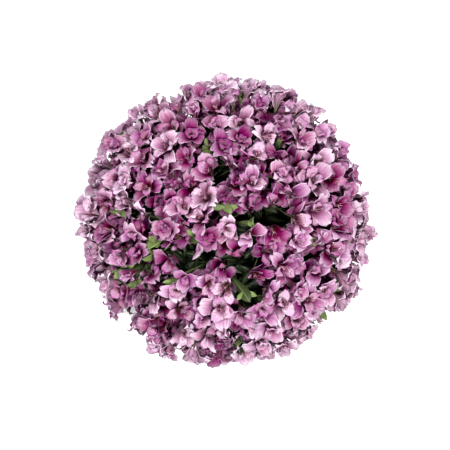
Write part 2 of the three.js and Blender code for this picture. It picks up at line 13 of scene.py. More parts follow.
import bmesh
import bpy
import numpy as np
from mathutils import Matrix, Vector


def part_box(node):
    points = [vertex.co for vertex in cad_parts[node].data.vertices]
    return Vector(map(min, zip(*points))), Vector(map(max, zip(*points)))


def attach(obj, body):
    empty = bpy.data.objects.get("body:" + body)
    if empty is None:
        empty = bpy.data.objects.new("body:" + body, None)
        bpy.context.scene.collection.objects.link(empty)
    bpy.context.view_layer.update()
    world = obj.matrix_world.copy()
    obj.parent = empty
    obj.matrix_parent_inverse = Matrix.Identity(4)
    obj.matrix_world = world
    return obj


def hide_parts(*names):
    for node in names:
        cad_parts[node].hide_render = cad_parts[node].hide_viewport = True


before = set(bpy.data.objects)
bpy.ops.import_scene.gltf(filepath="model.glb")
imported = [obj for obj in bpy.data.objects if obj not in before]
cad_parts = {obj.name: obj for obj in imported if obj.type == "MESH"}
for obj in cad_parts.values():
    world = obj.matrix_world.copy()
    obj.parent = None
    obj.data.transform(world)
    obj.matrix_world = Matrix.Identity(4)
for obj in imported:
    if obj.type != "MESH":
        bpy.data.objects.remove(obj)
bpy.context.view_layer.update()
bpy.ops.object.select_all(action="DESELECT")

# %% [markdown]
# ## Sizes
#
# Blender works in metres, and a flower is easier to think about in millimetres, so every size is a
# plain number times MM. These are the sizes of the frame's own plan: a flattened dome over a waist,
# with four rings of stems.

# %% Sizes of the bouquet
MM = 0.001
RIM_HEIGHT = 367 * MM  # the widest level of the dome
DOME_RADIUS = 263 * MM
DOME_RISE = 168 * MM
DOME_TUCK = 18 * MM  # how far the dome curves in again below that level
FOCUS_DEPTH = 60 * MM  # the umbels face away from a spot this far below it
WAIST_HEIGHT = 170 * MM
STEM_RADIUS = 3 * MM
STEM_ARCH = 2.2  # the power by which the stems stretch outwards above the waist

# polar is how far the umbels of a ring lean over, in degrees, and slope how its stems lean at the waist.
RINGS = [
    SimpleNamespace(count=1, polar=0, outer_blooms=6, slope=0),
    SimpleNamespace(count=5, polar=27.5, outer_blooms=6, slope=0.22),
    SimpleNamespace(count=9, polar=51.5, outer_blooms=6, slope=0.42),
    SimpleNamespace(count=12, polar=79.5, outer_blooms=5, slope=0.6),
]
RING_TURN = 0.7  # each ring starts this much further round, in radians
UMBEL_DRIFT = 0.04  # and its umbels stray this far from even steps
UMBEL_DEPTH = 82 * MM  # from the dome down to the head that the pedicels grow from
HEAD_LENGTH = 8 * MM
HEAD_RADIUS = 4.8 * MM
print(sum(ring.count for ring in RINGS), "umbels on a dome", round(2 * DOME_RADIUS / MM), "mm wide")

# %% [markdown]
# ## The camera, the light and the floor
#
# A bouquet like this is shown from straight above, so the camera looks down the stems with a long
# lens, which keeps the rim of the dome from hiding under the crown. The lens is worked out from how
# much of the picture's width the dome takes.

# %% Camera
DOME_ON_PICTURE = 291 / 450  # the share of the picture's width that the dome takes
DOME_WIDTH = 590 * MM
CAMERA_HEIGHT = 2.6
PICTURE_MIDDLE = Vector((1 * MM, -4 * MM))  # what the camera looks straight down on

camera = bpy.data.objects.new("Camera", bpy.data.cameras.new("Camera"))
bpy.context.scene.collection.objects.link(camera)
bpy.context.scene.camera = camera
camera.location = (*PICTURE_MIDDLE, CAMERA_HEIGHT)
picture_width = DOME_WIDTH / DOME_ON_PICTURE
camera.data.lens = camera.data.sensor_width * (CAMERA_HEIGHT - RIM_HEIGHT) / picture_width
print("lens", round(camera.data.lens, 1), "mm")

# %% [markdown]
# One lamp right overhead would light all petals alike. Two soft square lights hang high on opposite
# sides, one stronger than the other, so that each cup has a lit wall and a shaded one. Both are aimed
# at the middle of the dome, and neither shows in the picture.

# %% Lights
LIGHT_SIZE = 0.28
LIGHT_HEIGHT = 2.6


def soft_light(name, place, watts, colour):
    """A square soft light that shines at the middle of the dome."""
    light = bpy.data.objects.new(name, bpy.data.lights.new(name, "AREA"))
    light.data.size = LIGHT_SIZE
    light.data.energy = watts
    light.data.color = colour
    light.location = place
    aim = Vector((0, 0, RIM_HEIGHT)) - Vector(place)
    light.rotation_euler = aim.to_track_quat("-Z", "Y").to_euler()
    light.visible_camera = False
    bpy.context.scene.collection.objects.link(light)
    print(name, "shines with", watts, "W")


soft_light("Key", (0.6, -0.55, LIGHT_HEIGHT), watts=61, colour=(1, 0.985, 0.97))
soft_light("Second key", (-0.5, 0.6, LIGHT_HEIGHT), watts=44, colour=(1, 0.99, 0.98))

# %% [markdown]
# The walls of a studio light a flower from the sides. A sky does that here: it's bright round the
# horizon and dark overhead, so the shade between the blooms stays deep. The floor is plain and pale.

# %% Walls and floor
HORIZON, OVERHEAD = 0.1, 0.65  # heights on the sky, from 0 at the horizon to 1 straight up
PALE_WALL = (0.9, 0.92, 0.95, 1)
DARK_CEILING = (0.05, 0.05, 0.05, 1)
FLOOR_SIZE = 40
FLOOR_DROP = 0.5 * MM  # the floor lies this far under the cut ends of the stems


def pale_sky():
    """Studio walls that are bright round the horizon and dark overhead."""
    world = bpy.data.worlds.new("Studio walls")
    world.use_nodes = True
    nodes, links = world.node_tree.nodes, world.node_tree.links
    place = nodes.new("ShaderNodeTexCoord")
    split = nodes.new("ShaderNodeSeparateXYZ")
    ramp = nodes.new("ShaderNodeValToRGB")
    links.new(place.outputs["Generated"], split.inputs[0])
    links.new(split.outputs["Z"], ramp.inputs[0])
    links.new(ramp.outputs[0], nodes["Background"].inputs["Color"])
    levels = [(HORIZON, PALE_WALL), (OVERHEAD, DARK_CEILING)]
    for element, (level, colour) in zip(ramp.color_ramp.elements, levels):
        element.position = level
        element.color = colour
    bpy.context.scene.world = world


pale_sky()
bpy.context.scene.view_settings.view_transform = "Standard"
bpy.context.scene.view_settings.look = "Medium High Contrast"

bpy.ops.mesh.primitive_plane_add(size=FLOOR_SIZE, location=(0, 0, -FLOOR_DROP))
floor = bpy.context.object
floor.name = "Floor"
print("the floor is", FLOOR_SIZE, "m wide")

# %% [markdown]
# ## The plan of the bouquet
#
# The frame's rule is repeated here, number for number: draws from a seed, umbels in rings on the
# dome, and blooms that press each other apart until they cover it evenly. Working the places out
# again, instead of storing a table of them, keeps the notebook short, and each bloom then knows its
# neighbours, which will matter when its tepals have to share the room with theirs.

# %% Seeded draws and directions
LOW_BITS = 0xFFFFFFFF
SEED_STEP = 0x6D2B79F5
UP = np.array([0.0, 0.0, 1.0])
NEARLY_UP = 0.9


def seeded_draws(seed):
    """The same seed always gives the same draws, each from 0 to 1."""
    state = seed

    def draw():
        nonlocal state
        state = (state + SEED_STEP) & LOW_BITS
        t = ((state ^ (state >> 15)) * (state | 1)) & LOW_BITS
        t ^= (t + (t ^ (t >> 7)) * (t | 61)) & LOW_BITS
        return ((t ^ (t >> 14)) & LOW_BITS) / 2**32

    return draw


def spread(draw, most):
    """A draw from -most to most."""
    return (2 * draw() - 1) * most


def between(draw, least, more):
    """A draw from least up to that much more."""
    return least + more * draw()


def unit(v):
    return v / np.linalg.norm(v)


def across(direction):
    """Two unit vectors across a direction."""
    helper = UP if abs(direction[2]) < NEARLY_UP else np.array([1.0, 0.0, 0.0])
    first = unit(np.cross(helper, direction))
    return first, np.cross(direction, first)


def around(direction, angle):
    """The unit vector across a direction at an angle round it."""
    east, north = across(direction)
    return east * math.cos(angle) + north * math.sin(angle)


# %% [markdown]
# An umbel is the cluster of blooms at the top of one stem. The umbels stand in rings on the dome, and
# each faces away from one spot deep inside it. How far a stem passes beside the axis at the waist is
# measured back from its foot in the frame, because the cut ends stay where the frame has them.

# %% Umbels in rings
CORNER_DIGITS = 6  # corners that agree to the micrometre are one
ON_FLOOR = 0.01 * MM


def foot_of(number):
    """The middle of a stem's level cut, from the frame's corners that stand on the floor."""
    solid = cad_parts[f"stem_{number:02d}"].data
    corners = {tuple(round(c, CORNER_DIGITS) for c in vertex.co) for vertex in solid.vertices}
    return np.mean([c for c in corners if abs(c[2]) < ON_FLOOR], axis=0)


def make_umbels():
    """The umbels of all rings, each with the head, neck and waist of its stem."""
    draw = seeded_draws(11)
    focus = np.array([0, 0, RIM_HEIGHT - FOCUS_DEPTH])
    umbels = []
    for r, ring in enumerate(RINGS):
        polar = math.radians(ring.polar)
        for k in range(ring.count):
            drift = spread(draw, UMBEL_DRIFT) * (r > 0)
            azimuth = r * RING_TURN + 2 * math.pi * k / ring.count + drift
            outward = np.array([math.cos(azimuth), math.sin(azimuth), 0])
            height = RIM_HEIGHT + DOME_RISE * math.cos(polar)
            place = outward * DOME_RADIUS * math.sin(polar) + UP * height
            axis = unit(place - focus)
            head = place - axis * UMBEL_DEPTH
            neck = head - axis * HEAD_LENGTH
            foot = foot_of(len(umbels) + 1)
            waist = math.sqrt(max(foot[0] ** 2 + foot[1] ** 2 - (ring.slope * WAIST_HEIGHT) ** 2, 0))
            umbels.append(SimpleNamespace(
                ring=ring, azimuth=azimuth, place=place, axis=axis, head=head, neck=neck, waist=waist,
                number=len(umbels) + 1, blooms=[], leaves=[],
            ))
    return umbels


umbels = make_umbels()
waists = [round(umbel.waist / MM, 1) for umbel in umbels]
print(len(umbels), "stems, up to", max(waists), "mm off the axis at the waist")

# %% [markdown]
# Real blooms push each other about until each has its room, and the same is done here. Every bloom
# starts on a circle round the middle of its umbel. Then all that stand too close press each other
# apart, a little at a time, while each is drawn weakly back to where it started. Places for the
# leaves that come up between the blooms are kept free in the same way.

# %% Blooms pressed into an even cover
START_RADIUS = 42 * MM  # of that circle
BLOOM_SPACING = 54 * MM  # what two blooms want between their middles
PRESSES = 300
PUSH = 0.15  # the share of the crowding that one press takes away
HOMING = 0.003  # and the share of the way back that it goes
LEAF_PLACE_SHARE = 0.55  # the room of a leaf, where a bloom has 1

# Places on the dome, in millimetres from the axis, where a leaf comes up between the blooms.
PEEKING_LEAVES = [
    (40, 244), (-191, 171), (-34, 156), (103, 163), (54, 102), (222, 94), (4, 31), (67, 3), (165, -43),
    (-279, 8), (-199, 10), (-135, -34), (-128, -70), (-199, -93), (-103, -105), (-164, -124), (-61, -24),
    (215, -127), (37, -129), (-148, -212), (-164, -238), (-80, -261), (21, -228), (187, -181),
]


def onto_dome(spots):
    """The nearest way back on to the dome for each spot, and never below its tucked-in edge."""
    on_unit = (spots - (0, 0, RIM_HEIGHT)) / (DOME_RADIUS, DOME_RADIUS, DOME_RISE)
    on_unit /= np.linalg.norm(on_unit, axis=1, keepdims=True)
    lowest = -DOME_TUCK / DOME_RISE
    low = on_unit[:, 2] < lowest
    level = np.linalg.norm(on_unit[low, :2], axis=1, keepdims=True)
    on_unit[low, :2] *= math.sqrt(1 - lowest**2) / level
    on_unit[low, 2] = lowest
    return on_unit * (DOME_RADIUS, DOME_RADIUS, DOME_RISE) + (0, 0, RIM_HEIGHT)


def starting_places():
    """Where each bloom and each leaf stands before they press each other."""
    draw = seeded_draws(23)
    found = []
    for umbel in umbels:
        turn = draw() * math.pi
        found.append(SimpleNamespace(umbel=umbel, share=1.0, at=umbel.place))
        for i in range(umbel.ring.outer_blooms):
            outward = around(umbel.axis, turn + 2 * math.pi * i / umbel.ring.outer_blooms)
            at = onto_dome((umbel.place + outward * START_RADIUS)[None])[0]
            found.append(SimpleNamespace(umbel=umbel, share=1.0, at=at))
    for x, y in PEEKING_LEAVES:
        level = min(math.hypot(x, y) * MM / DOME_RADIUS, 1)
        high = RIM_HEIGHT + DOME_RISE * math.sqrt(1 - level * level)
        at = onto_dome(np.array([[x * MM, y * MM, high]]))[0]
        nearest = min(umbels, key=lambda umbel: np.linalg.norm(umbel.place - at))
        found.append(SimpleNamespace(umbel=nearest, share=LEAF_PLACE_SHARE, at=at))
    return found


def press_apart(found):
    """Blooms that are too close push each other away. The leaves push too, but they stay."""
    homes = np.array([place.at for place in found])
    share = np.array([place.share for place in found])
    wanted = BLOOM_SPACING * (share[:, None] + share) / 2
    at = homes.copy()
    for _ in range(PRESSES):
        apart = at[:, None] - at
        distance = np.linalg.norm(apart, axis=2)
        np.fill_diagonal(distance, 1)
        crowding = np.clip(wanted - distance, 0, None) / distance
        step = HOMING * (homes - at) + PUSH * (crowding[:, :, None] * apart).sum(axis=1)
        at = np.where(share[:, None] == 1, onto_dome(at + step), at)
    for place, spot in zip(found, at):
        place.at = spot


places = starting_places()
press_apart(places)
blooms = [place for place in places if place.share == 1]
print(len(blooms), "blooms and", len(places) - len(blooms), "leaves between them")

# %% [markdown]
# A bloom faces out of the dome, but it also turns up to the light, and no two sit quite alike. Its
# base lies under the dome, where its pedicel ends. The planes between it and its neighbours are
# worked out as well. They are the walls of its room, and its tepals will stay within them, apart from
# a few millimetres by which real ones slide over each other.

# %% How each bloom sits
BLOOM_JITTER = 9 * MM  # how far a bloom stands out of the dome, or deeper
BLOOM_TILT = 0.2
BLOOM_RISE = 0.3  # how far it turns up, where 1 is straight up
RIM_FALL = 0.6  # how much of that rise the blooms at the rim lose
BLOOM_MIDDLE = 18 * MM  # from its base to its middle
BLOOM_SIZES = (0.94, 0.14)
BLOOM_GAP = 0.5 * MM
NEIGHBOUR_REACH = 95 * MM
SAME_UMBEL = 13 * MM  # how far tepals slide over those of a neighbour in their own umbel
OTHER_UMBEL = 6 * MM  # and over those of another one


def dome_normal(at):
    """The direction that faces straight out of the dome."""
    return unit((at - (0, 0, RIM_HEIGHT)) / (DOME_RADIUS**2, DOME_RADIUS**2, DOME_RISE**2))


def seat_places():
    """Gives every place its axis, its base under the dome, its turn and its size."""
    draw = seeded_draws(37)
    for place in places:
        place.normal = dome_normal(place.at)
        level = min(np.linalg.norm(place.at[:2]) / DOME_RADIUS, 1)
        rise = BLOOM_RISE * (1 - RIM_FALL * level**8)
        leaning = place.normal * (1 - rise) + UP * rise
        jitter = 0
        if place.share == 1:
            leaning = leaning + [spread(draw, BLOOM_TILT) for _ in range(3)]
            jitter = spread(draw, BLOOM_JITTER)
        place.axis = unit(leaning)
        place.middle = place.at + place.normal * jitter
        place.base = place.middle - place.axis * BLOOM_MIDDLE
        place.turn = draw() * 2 * math.pi
        place.size = between(draw, *BLOOM_SIZES)


def find_neighbours():
    """The planes between each place and its neighbours, shared by size."""
    for place in places:
        others = [other for other in places if other is not place]
        near = [o for o in others if np.linalg.norm(o.middle - place.middle) < NEIGHBOUR_REACH]
        place.walls = np.array([unit(o.middle - place.middle) for o in near])
        borders = [
            place.middle + (o.middle - place.middle) * place.share / (place.share + o.share) for o in near
        ]
        place.offsets = np.einsum("ij,ij->i", place.walls, np.array(borders)) - BLOOM_GAP / 2
        place.overlaps = np.array([SAME_UMBEL if o.umbel is place.umbel else OTHER_UMBEL for o in near])


seat_places()
find_neighbours()
for bloom in blooms:
    bloom.umbel.blooms.append(bloom)
crowded = np.mean([np.sort(b.offsets - b.walls @ b.middle)[0] for b in blooms])
print("the nearest neighbour's border is", round(crowded / MM, 1), "mm off, on average")

# %% [markdown]
# The cover isn't closed everywhere. Here and there the flowers of two umbels part, and the view goes
# down between them to dark leaves. Each opening is put in the gap between three blooms that is nearest
# to it, and it becomes one more wall that their tepals stay behind.

# %% Openings between the flowers
GAP_REACH = 84 * MM  # blooms further apart than this don't share a gap
GAP_SLACK = 1 * MM  # a place has to be this much nearer than the three to count as a fourth
OPENING_REACH = 30 * MM  # blooms further than this from the edge of an opening don't mind it
LEAST_ROOM = 6 * MM  # what a bloom keeps on the side of an opening

# Where the openings show from above, and how wide they are: x, y and radius in millimetres.
OPENINGS = [
    (41, 3, 30), (75, 15, 26), (101, 19, 24), (126, 40, 18), (12, 92, 26), (114, 115, 18), (16, -70, 30),
    (63, -72, 26), (-79, -31, 32), (-55, -70, 26), (-132, -70, 28), (-150, 13, 22), (-187, -25, 22),
    (39, -123, 36), (39, -155, 34), (20, -224, 28), (-154, -131, 26), (-109, -198, 22), (-10, 20, 22),
]


def dome_height(spots):
    """How high the dome is over spots on the floor."""
    level = np.minimum(np.linalg.norm(spots, axis=-1) / DOME_RADIUS, 1)
    return RIM_HEIGHT + DOME_RISE * np.sqrt(1 - level**2)


def seen_at(x, y):
    """The spot on the dome that shows from the camera where x, y is at the height of the rim."""
    spot = np.array([x, y]) * MM
    nearer = (CAMERA_HEIGHT - dome_height(spot)) / (CAMERA_HEIGHT - RIM_HEIGHT)
    return spot * nearer


def gaps_between_blooms():
    """Every spot between three blooms with no fourth place nearer to it, the widest gap first."""
    spots = np.array([place.at for place in places])
    found = []
    for i, one in enumerate(blooms):
        near = [k for k in range(i + 1, len(blooms)) if np.linalg.norm(blooms[k].at - one.at) < GAP_REACH]
        for a in near:
            for b in near:
                if b <= a or np.linalg.norm(blooms[a].at - blooms[b].at) >= GAP_REACH:
                    continue
                trio = [one, blooms[a], blooms[b]]
                middle = sum(bloom.at for bloom in trio) / 3
                reach = max(np.linalg.norm(bloom.at - middle) for bloom in trio)
                distances = np.linalg.norm(spots - middle, axis=1)
                if np.sum(distances < reach - GAP_SLACK) < len(trio):
                    found.append((reach, middle, trio))
    return sorted(found, key=lambda gap: -gap[0])


def part_the_flowers(openings):
    """Gives the blooms round each opening one more wall, which faces it."""
    for bloom in blooms:
        for opening in openings:
            distance = np.linalg.norm(opening.at - bloom.middle)
            if distance < opening.radius + OPENING_REACH:
                wall = (opening.at - bloom.middle) / distance
                room = max(distance - opening.radius, LEAST_ROOM)
                bloom.walls = np.vstack([bloom.walls, wall])
                bloom.offsets = np.append(bloom.offsets, bloom.middle @ wall + room)
                bloom.overlaps = np.append(bloom.overlaps, 0)


gaps = gaps_between_blooms()
openings = []
for x, y, radius in OPENINGS:
    wanted = seen_at(x, y)
    middle = min((middle for _, middle, _ in gaps), key=lambda m: np.linalg.norm(m[:2] - wanted))
    openings.append(SimpleNamespace(at=middle, radius=radius * MM))
part_the_flowers(openings)
print(len(gaps), "gaps between blooms, and", len(openings), "of them stay open")

# %% [markdown]
# The flowers of an umbel open one after another, so a second row stands deeper, in the gaps between
# three open blooms. From above they are dark and half hidden, and their tepals are painted darker too,
# as shade. They close the view to the floor. The largest gaps are filled first.

# %% Blooms in the gaps
GAP_APART = 31 * MM  # nearer to each other than this, only the larger gap is filled
GAP_SINK = 16 * MM
GAP_DEPTH = 10 * MM  # beside the sink, which is straight down, they stand this much deeper in the dome
GAP_SIZES = (0.8, 0.16)
LEAF_ROOM = 14 * MM
OPENING_ROOM = 14 * MM


def deeper_bloom(umbel, at, normal, rise, under, sizes, draw):
    """A bloom with its middle under the open ones. It has no walls, because nothing shows its edge."""
    tilt = [spread(draw, BLOOM_TILT) for _ in range(3)]
    axis = unit(normal * (1 - rise) + UP * rise + tilt)
    return SimpleNamespace(
        umbel=umbel, at=at, normal=normal, axis=axis, base=under - axis * BLOOM_MIDDLE,
        size=between(draw, *sizes), turn=draw() * 2 * math.pi, walls=None,
    )


def fill_gaps(draw):
    """A deeper bloom for each gap that is clear of leaves and of the gaps already filled."""
    leaf_spots = np.array([place.at for place in places if place.share < 1])
    filled = []
    for _, middle, trio in gaps:
        crowded_by_leaf = np.min(np.linalg.norm(leaf_spots - middle, axis=1)) < LEAF_ROOM
        in_an_opening = any(np.linalg.norm(o.at - middle) < o.radius + OPENING_ROOM for o in openings)
        taken_already = any(np.linalg.norm(other.at - middle) < GAP_APART for other in filled)
        if crowded_by_leaf or in_an_opening or taken_already:
            continue
        normal = unit(sum(bloom.normal for bloom in trio))
        umbel = min((bloom.umbel for bloom in trio), key=lambda u: np.linalg.norm(u.place - middle))
        under = middle - normal * GAP_DEPTH - UP * GAP_SINK
        filled.append(deeper_bloom(umbel, middle, normal, BLOOM_RISE, under, GAP_SIZES, draw))
    return filled


second_row = fill_gaps(seeded_draws(43))
print(len(second_row), "blooms in the gaps")

# %% [markdown]
# From straight above, the view still goes through here and there. So the dome is gone over on a fine
# grid of spots. The spot furthest from every bloom, leaf and opening gets one more bloom, deeper
# still, and this is repeated until no spot is far from all of them. At the rim, where the dome falls
# away, they stand closer together.

# %% Blooms under the gaps
SEEN_STEP = 6 * MM  # of the grid
SEEN_GAP = 20 * MM  # a spot that is further than this from everything is bare
SEEN_DEPTH = 32 * MM
SEEN_RISE = 0.5
SEEN_SIZES = (0.85, 0.15)
LEAF_SHORT = 9 * MM  # the middle of a leaf counts as this far from a bloom
OPENING_EDGE = 13 * MM  # and so does the edge of an opening, which leaves its middle dark
OPEN_WITHIN = 200 * MM  # but only of openings this near the axis
RIM_COVER = 0.5  # how much closer together the blooms stand at the rim
RIM_POWER = 6
RAGGED_FROM = 0.9 * DOME_RADIUS  # past this the rim is left ragged


def fill_from_above(draw, rows):
    """More blooms, deeper still, wherever someone who looks straight down would see through."""
    steps = np.arange(-DOME_RADIUS, DOME_RADIUS, SEEN_STEP)
    spots = np.array([(x, y) for x in steps for y in steps if math.hypot(x, y) < RAGGED_FROM])
    heights = dome_height(spots)
    rimward = 1 + RIM_COVER * (np.linalg.norm(spots, axis=1) / DOME_RADIUS) ** RIM_POWER
    bare = np.full(len(spots), np.inf)
    covers = [(bloom.at, 0) for bloom in rows]
    covers += [(place.at, LEAF_SHORT) for place in places if place.share < 1]
    dark = [opening for opening in openings if np.linalg.norm(opening.at[:2]) < OPEN_WITHIN]
    covers += [(opening.at, OPENING_EDGE - opening.radius) for opening in dark]
    for at, short in covers:
        bare = np.minimum(bare, (np.linalg.norm(spots - at[:2], axis=1) + short) * rimward)
    filled = []
    while bare.max() > SEEN_GAP:
        i = int(bare.argmax())
        bare = np.minimum(bare, np.linalg.norm(spots - spots[i], axis=1) * rimward)
        at = np.array([*spots[i], heights[i]])
        umbel = min(umbels, key=lambda umbel: np.linalg.norm(umbel.place - at))
        under = at - UP * SEEN_DEPTH
        filled.append(deeper_bloom(umbel, at, dome_normal(at), SEEN_RISE, under, SEEN_SIZES, draw))
    return filled


third_row = fill_from_above(seeded_draws(47), blooms + second_row)
print(len(third_row), "more blooms under them")

# %% [markdown]
# ## The line of a stem
#
# Florists lay the stems in a spiral: each one leans past the others at the waist, and above it they
# curve out to their umbels. The line is a straight skew line up to the waist, with an outward
# stretch that grows above it. The functions below also measure along the line, because leaves are
# placed by their distance below the umbel.

# %% Stem lines
LINE_STEPS = 200
NUDGE = 0.0001  # the share of a line over which its direction is taken


class StemLine:
    """The middle of a stem. Its shares run from 0 at the foot to 1 at the neck of the umbel."""

    def __init__(self, umbel):
        self.umbel = umbel
        self.climb = umbel.neck[2] - WAIST_HEIGHT
        lean = umbel.ring.slope * self.climb
        self.start = umbel.azimuth - math.atan2(lean, umbel.waist)
        self.arch = math.hypot(umbel.neck[0], umbel.neck[1]) - math.hypot(umbel.waist, lean)
        self.shares = np.linspace(0, 1, LINE_STEPS + 1)
        spots = np.array([self.at(t) for t in self.shares])
        self.lengths = np.concatenate([[0], np.cumsum(np.linalg.norm(np.diff(spots, axis=0), axis=1))])

    def at(self, t):
        z = self.umbel.neck[2] * t
        lean = self.umbel.ring.slope * (z - WAIST_HEIGHT)
        x = self.umbel.waist * math.cos(self.start) - lean * math.sin(self.start)
        y = self.umbel.waist * math.sin(self.start) + lean * math.cos(self.start)
        risen = max(z - WAIST_HEIGHT, 0) / self.climb
        radius = math.hypot(x, y) or 1
        stretch = 1 + self.arch * risen**STEM_ARCH / radius
        return np.array([x * stretch, y * stretch, z])

    def share_below(self, below):
        """Where on the line lies a spot that is so far below its top, measured along it."""
        return float(np.interp(self.lengths[-1] - below, self.lengths, self.shares))

    def direction(self, t):
        return unit(self.at(min(t + NUDGE, 1)) - self.at(max(t - NUDGE, 0)))


for umbel in umbels:
    umbel.line = StemLine(umbel)
print("stems are", [round(umbel.line.lengths[-1] / MM) for umbel in umbels[::9]], "mm long")

# %% [markdown]
# ## Where the leaves go
#
# The frame's leaves look for a clear way: each one is tried at drawn angles until its midline keeps
# its distance from all stems, pedicels and blooms. The same search is run here, so each fine leaf
# grows exactly where the frame has its plain one.

# %% What a leaf keeps clear of
LEAF_CLEAR = 0.8 * MM
OVARY_RADIUS = 2.6 * MM
PEDICEL_SUNK = 2 * MM  # how deep pedicels are rooted in the head
PEDICEL_SPREAD = 2.4 * MM  # and how far from its middle
STEM_SPANS = 12
BLOOM_ROOM = [(12 * MM, 20 * MM, 12 * MM), (26 * MM, 34 * MM, 22 * MM)]  # from, to and radius, on its axis
ROOM_FROM = 0.2  # a leaf takes room from this share of its midline on
ROOM_SHARE = 0.4  # with a radius that is this share of its width
taken = []  # rods that no leaf may touch: from, to and radius


def pedicel_root(bloom):
    """Where a pedicel leaves the head of its umbel."""
    umbel = bloom.umbel
    root = umbel.head - umbel.axis * PEDICEL_SUNK
    if bloom is umbel.blooms[0]:
        return root
    outward = bloom.base - umbel.head
    return root + unit(outward - umbel.axis * (outward @ umbel.axis)) * PEDICEL_SPREAD


for umbel in umbels:
    spots = [umbel.line.at(i / STEM_SPANS) for i in range(STEM_SPANS + 1)]
    taken += [(a, b, STEM_RADIUS) for a, b in zip(spots, spots[1:])]
    taken.append((umbel.neck, umbel.head, HEAD_RADIUS))
for bloom in blooms:
    taken.append((pedicel_root(bloom), bloom.base, OVARY_RADIUS))
    taken += [(bloom.base + bloom.axis * a, bloom.base + bloom.axis * b, r) for a, b, r in BLOOM_ROOM]


def on_midline(leaf, t):
    """A leaf's midline bends from its root over its knee to its tip."""
    a = leaf.root + (leaf.knee - leaf.root) * t
    b = leaf.knee + (leaf.tip - leaf.knee) * t
    return a + (b - a) * t


def is_clear(leaf, samples):
    """Whether a leaf keeps clear of all that is taken. Samples are (share of midline, share of width)."""
    starts, ends, radii = (np.array(column) for column in zip(*taken))
    runs = ends - starts
    lengths = np.einsum("ij,ij->i", runs, runs)
    for t, share in samples:
        away = on_midline(leaf, t) - starts
        along = np.clip(np.einsum("ij,ij->i", away, runs) / lengths, 0, 1)
        distance = np.linalg.norm(away - runs * along[:, None], axis=1)
        if np.any(distance <= radii + leaf.width * share + LEAF_CLEAR):
            return False
    return True


def take_room(leaf):
    """Later leaves have to keep clear of this one too."""
    middle = on_midline(leaf, 0.5)
    taken.append((on_midline(leaf, ROOM_FROM), middle, leaf.width * ROOM_SHARE))
    taken.append((middle, leaf.tip, leaf.width * ROOM_SHARE))


print(len(taken), "rods are taken by stems, heads, pedicels and blooms")

# %% [markdown]
# A leaf that comes up between the blooms grows from one of the stems nearest to its place. On each of
# them, roots further and further below the umbel are tried, until the stalk has a clear way up.

# %% Leaves between the blooms
STALK_SAMPLES = [(0.08, 0.05), (0.13, 0.07), (0.2, 0.1), (0.3, 0.16), (0.4, 0.2), (0.5, 0.3), (0.6, 0.4)]
PEEK_ROOTS = [16 * MM, 26 * MM, 38 * MM, 52 * MM, 68 * MM]
PEEK_WIDTH = 14 * MM
PEEK_ABOVE = 12 * MM  # its tip stands this far out of the dome
PEEK_NOD = 13 * MM  # and this far to the side to which it nods
PEEK_KNEE = 22 * MM  # its knee lies this far under the dome
PEEK_STEMS = 5  # how many stems are tried


def peeking_leaf(place, draw):
    """Grows the leaf of a place from the first root that gives it a clear way."""
    nod = around(place.axis, draw() * 2 * math.pi)
    tip = place.at + place.normal * PEEK_ABOVE + nod * PEEK_NOD
    knee = place.at - place.normal * PEEK_KNEE
    nearby = sorted(umbels, key=lambda umbel: np.linalg.norm(umbel.place - place.at))
    for umbel in nearby[:PEEK_STEMS]:
        for below in PEEK_ROOTS:
            root = umbel.line.at(umbel.line.share_below(below))
            side = unit(np.cross(nod, tip - root))
            leaf = SimpleNamespace(
                root=root, knee=knee, tip=tip, width=PEEK_WIDTH, side=side, place=place, stalked=True,
                shaded=False, lit=True, nod=nod,
            )
            if is_clear(leaf, STALK_SAMPLES):
                umbel.leaves.append(leaf)
                take_room(leaf)
                return


leaf_draw = seeded_draws(53)
for place in places:
    if place.share < 1:
        peeking_leaf(place, leaf_draw)
print(sum(len(umbel.leaves) for umbel in umbels), "leaves come up between the blooms")

# %% [markdown]
# Below its umbel a stem carries a pair of leaves, and another one lower down. Each leaf arches out
# from the stem and droops at its tip. If a leaf meets something in all its tries, the stem goes
# without it.

# %% Leaves on the stems
FREE_SAMPLES = [(0.26, 0.36), (0.45, 0.46), (0.6, 0.5), (0.75, 0.36), (0.9, 0.15), (1, 0.02)]
LEAF_TRIES = 14
LEAF_TURN = 1.1  # how far round the stem a leaf may stray, in radians
LEAF_KNEE = 0.55  # the shares of a leaf's length at which its knee and its tip lie
LEAF_REACH = 0.97
LEAF_DROOP = (4, 14)
LEAF_WIDTH = (11, 3)
WHORL = SimpleNamespace(count=2, below=12, step=6, drift=0, open=(0.75, 0.5), length=(52, 16))
LOWER = SimpleNamespace(count=1, below=45, step=45, drift=20, open=(0.7, 0.4), length=(66, 24))


def free_leaf(root, direction, length, droop, width):
    """A leaf that arches out from its root and droops."""
    tip = root + direction * length * LEAF_REACH - UP * droop
    return SimpleNamespace(
        root=root, knee=root + direction * length * LEAF_KNEE, tip=tip, width=width,
        side=unit(np.cross(direction, UP)), place=None, stalked=False, shaded=False, lit=False,
    )


def drawn_leaf(umbel, group, i, draw):
    """One try at a leaf of a group: its height, angle, opening, length, droop and width are drawn."""
    below = (group.below + group.step * i + group.drift * draw()) * MM
    at = umbel.line.share_below(below)
    stemward = umbel.line.direction(at)
    outward = around(stemward, 2 * math.pi * i / WHORL.count + spread(draw, LEAF_TURN))
    opening = between(draw, *group.open)
    direction = stemward * math.cos(opening) + outward * math.sin(opening)
    length = between(draw, *group.length) * MM
    droop = between(draw, *LEAF_DROOP) * MM
    return free_leaf(umbel.line.at(at), direction, length, droop, between(draw, *LEAF_WIDTH) * MM)


def grow_leaves(umbel, group, draw):
    """Tries each leaf of a group until it is clear, and leaves it out if it never is."""
    for i in range(group.count):
        for _ in range(LEAF_TRIES):
            leaf = drawn_leaf(umbel, group, i, draw)
            if is_clear(leaf, FREE_SAMPLES):
                umbel.leaves.append(leaf)
                take_room(leaf)
                break


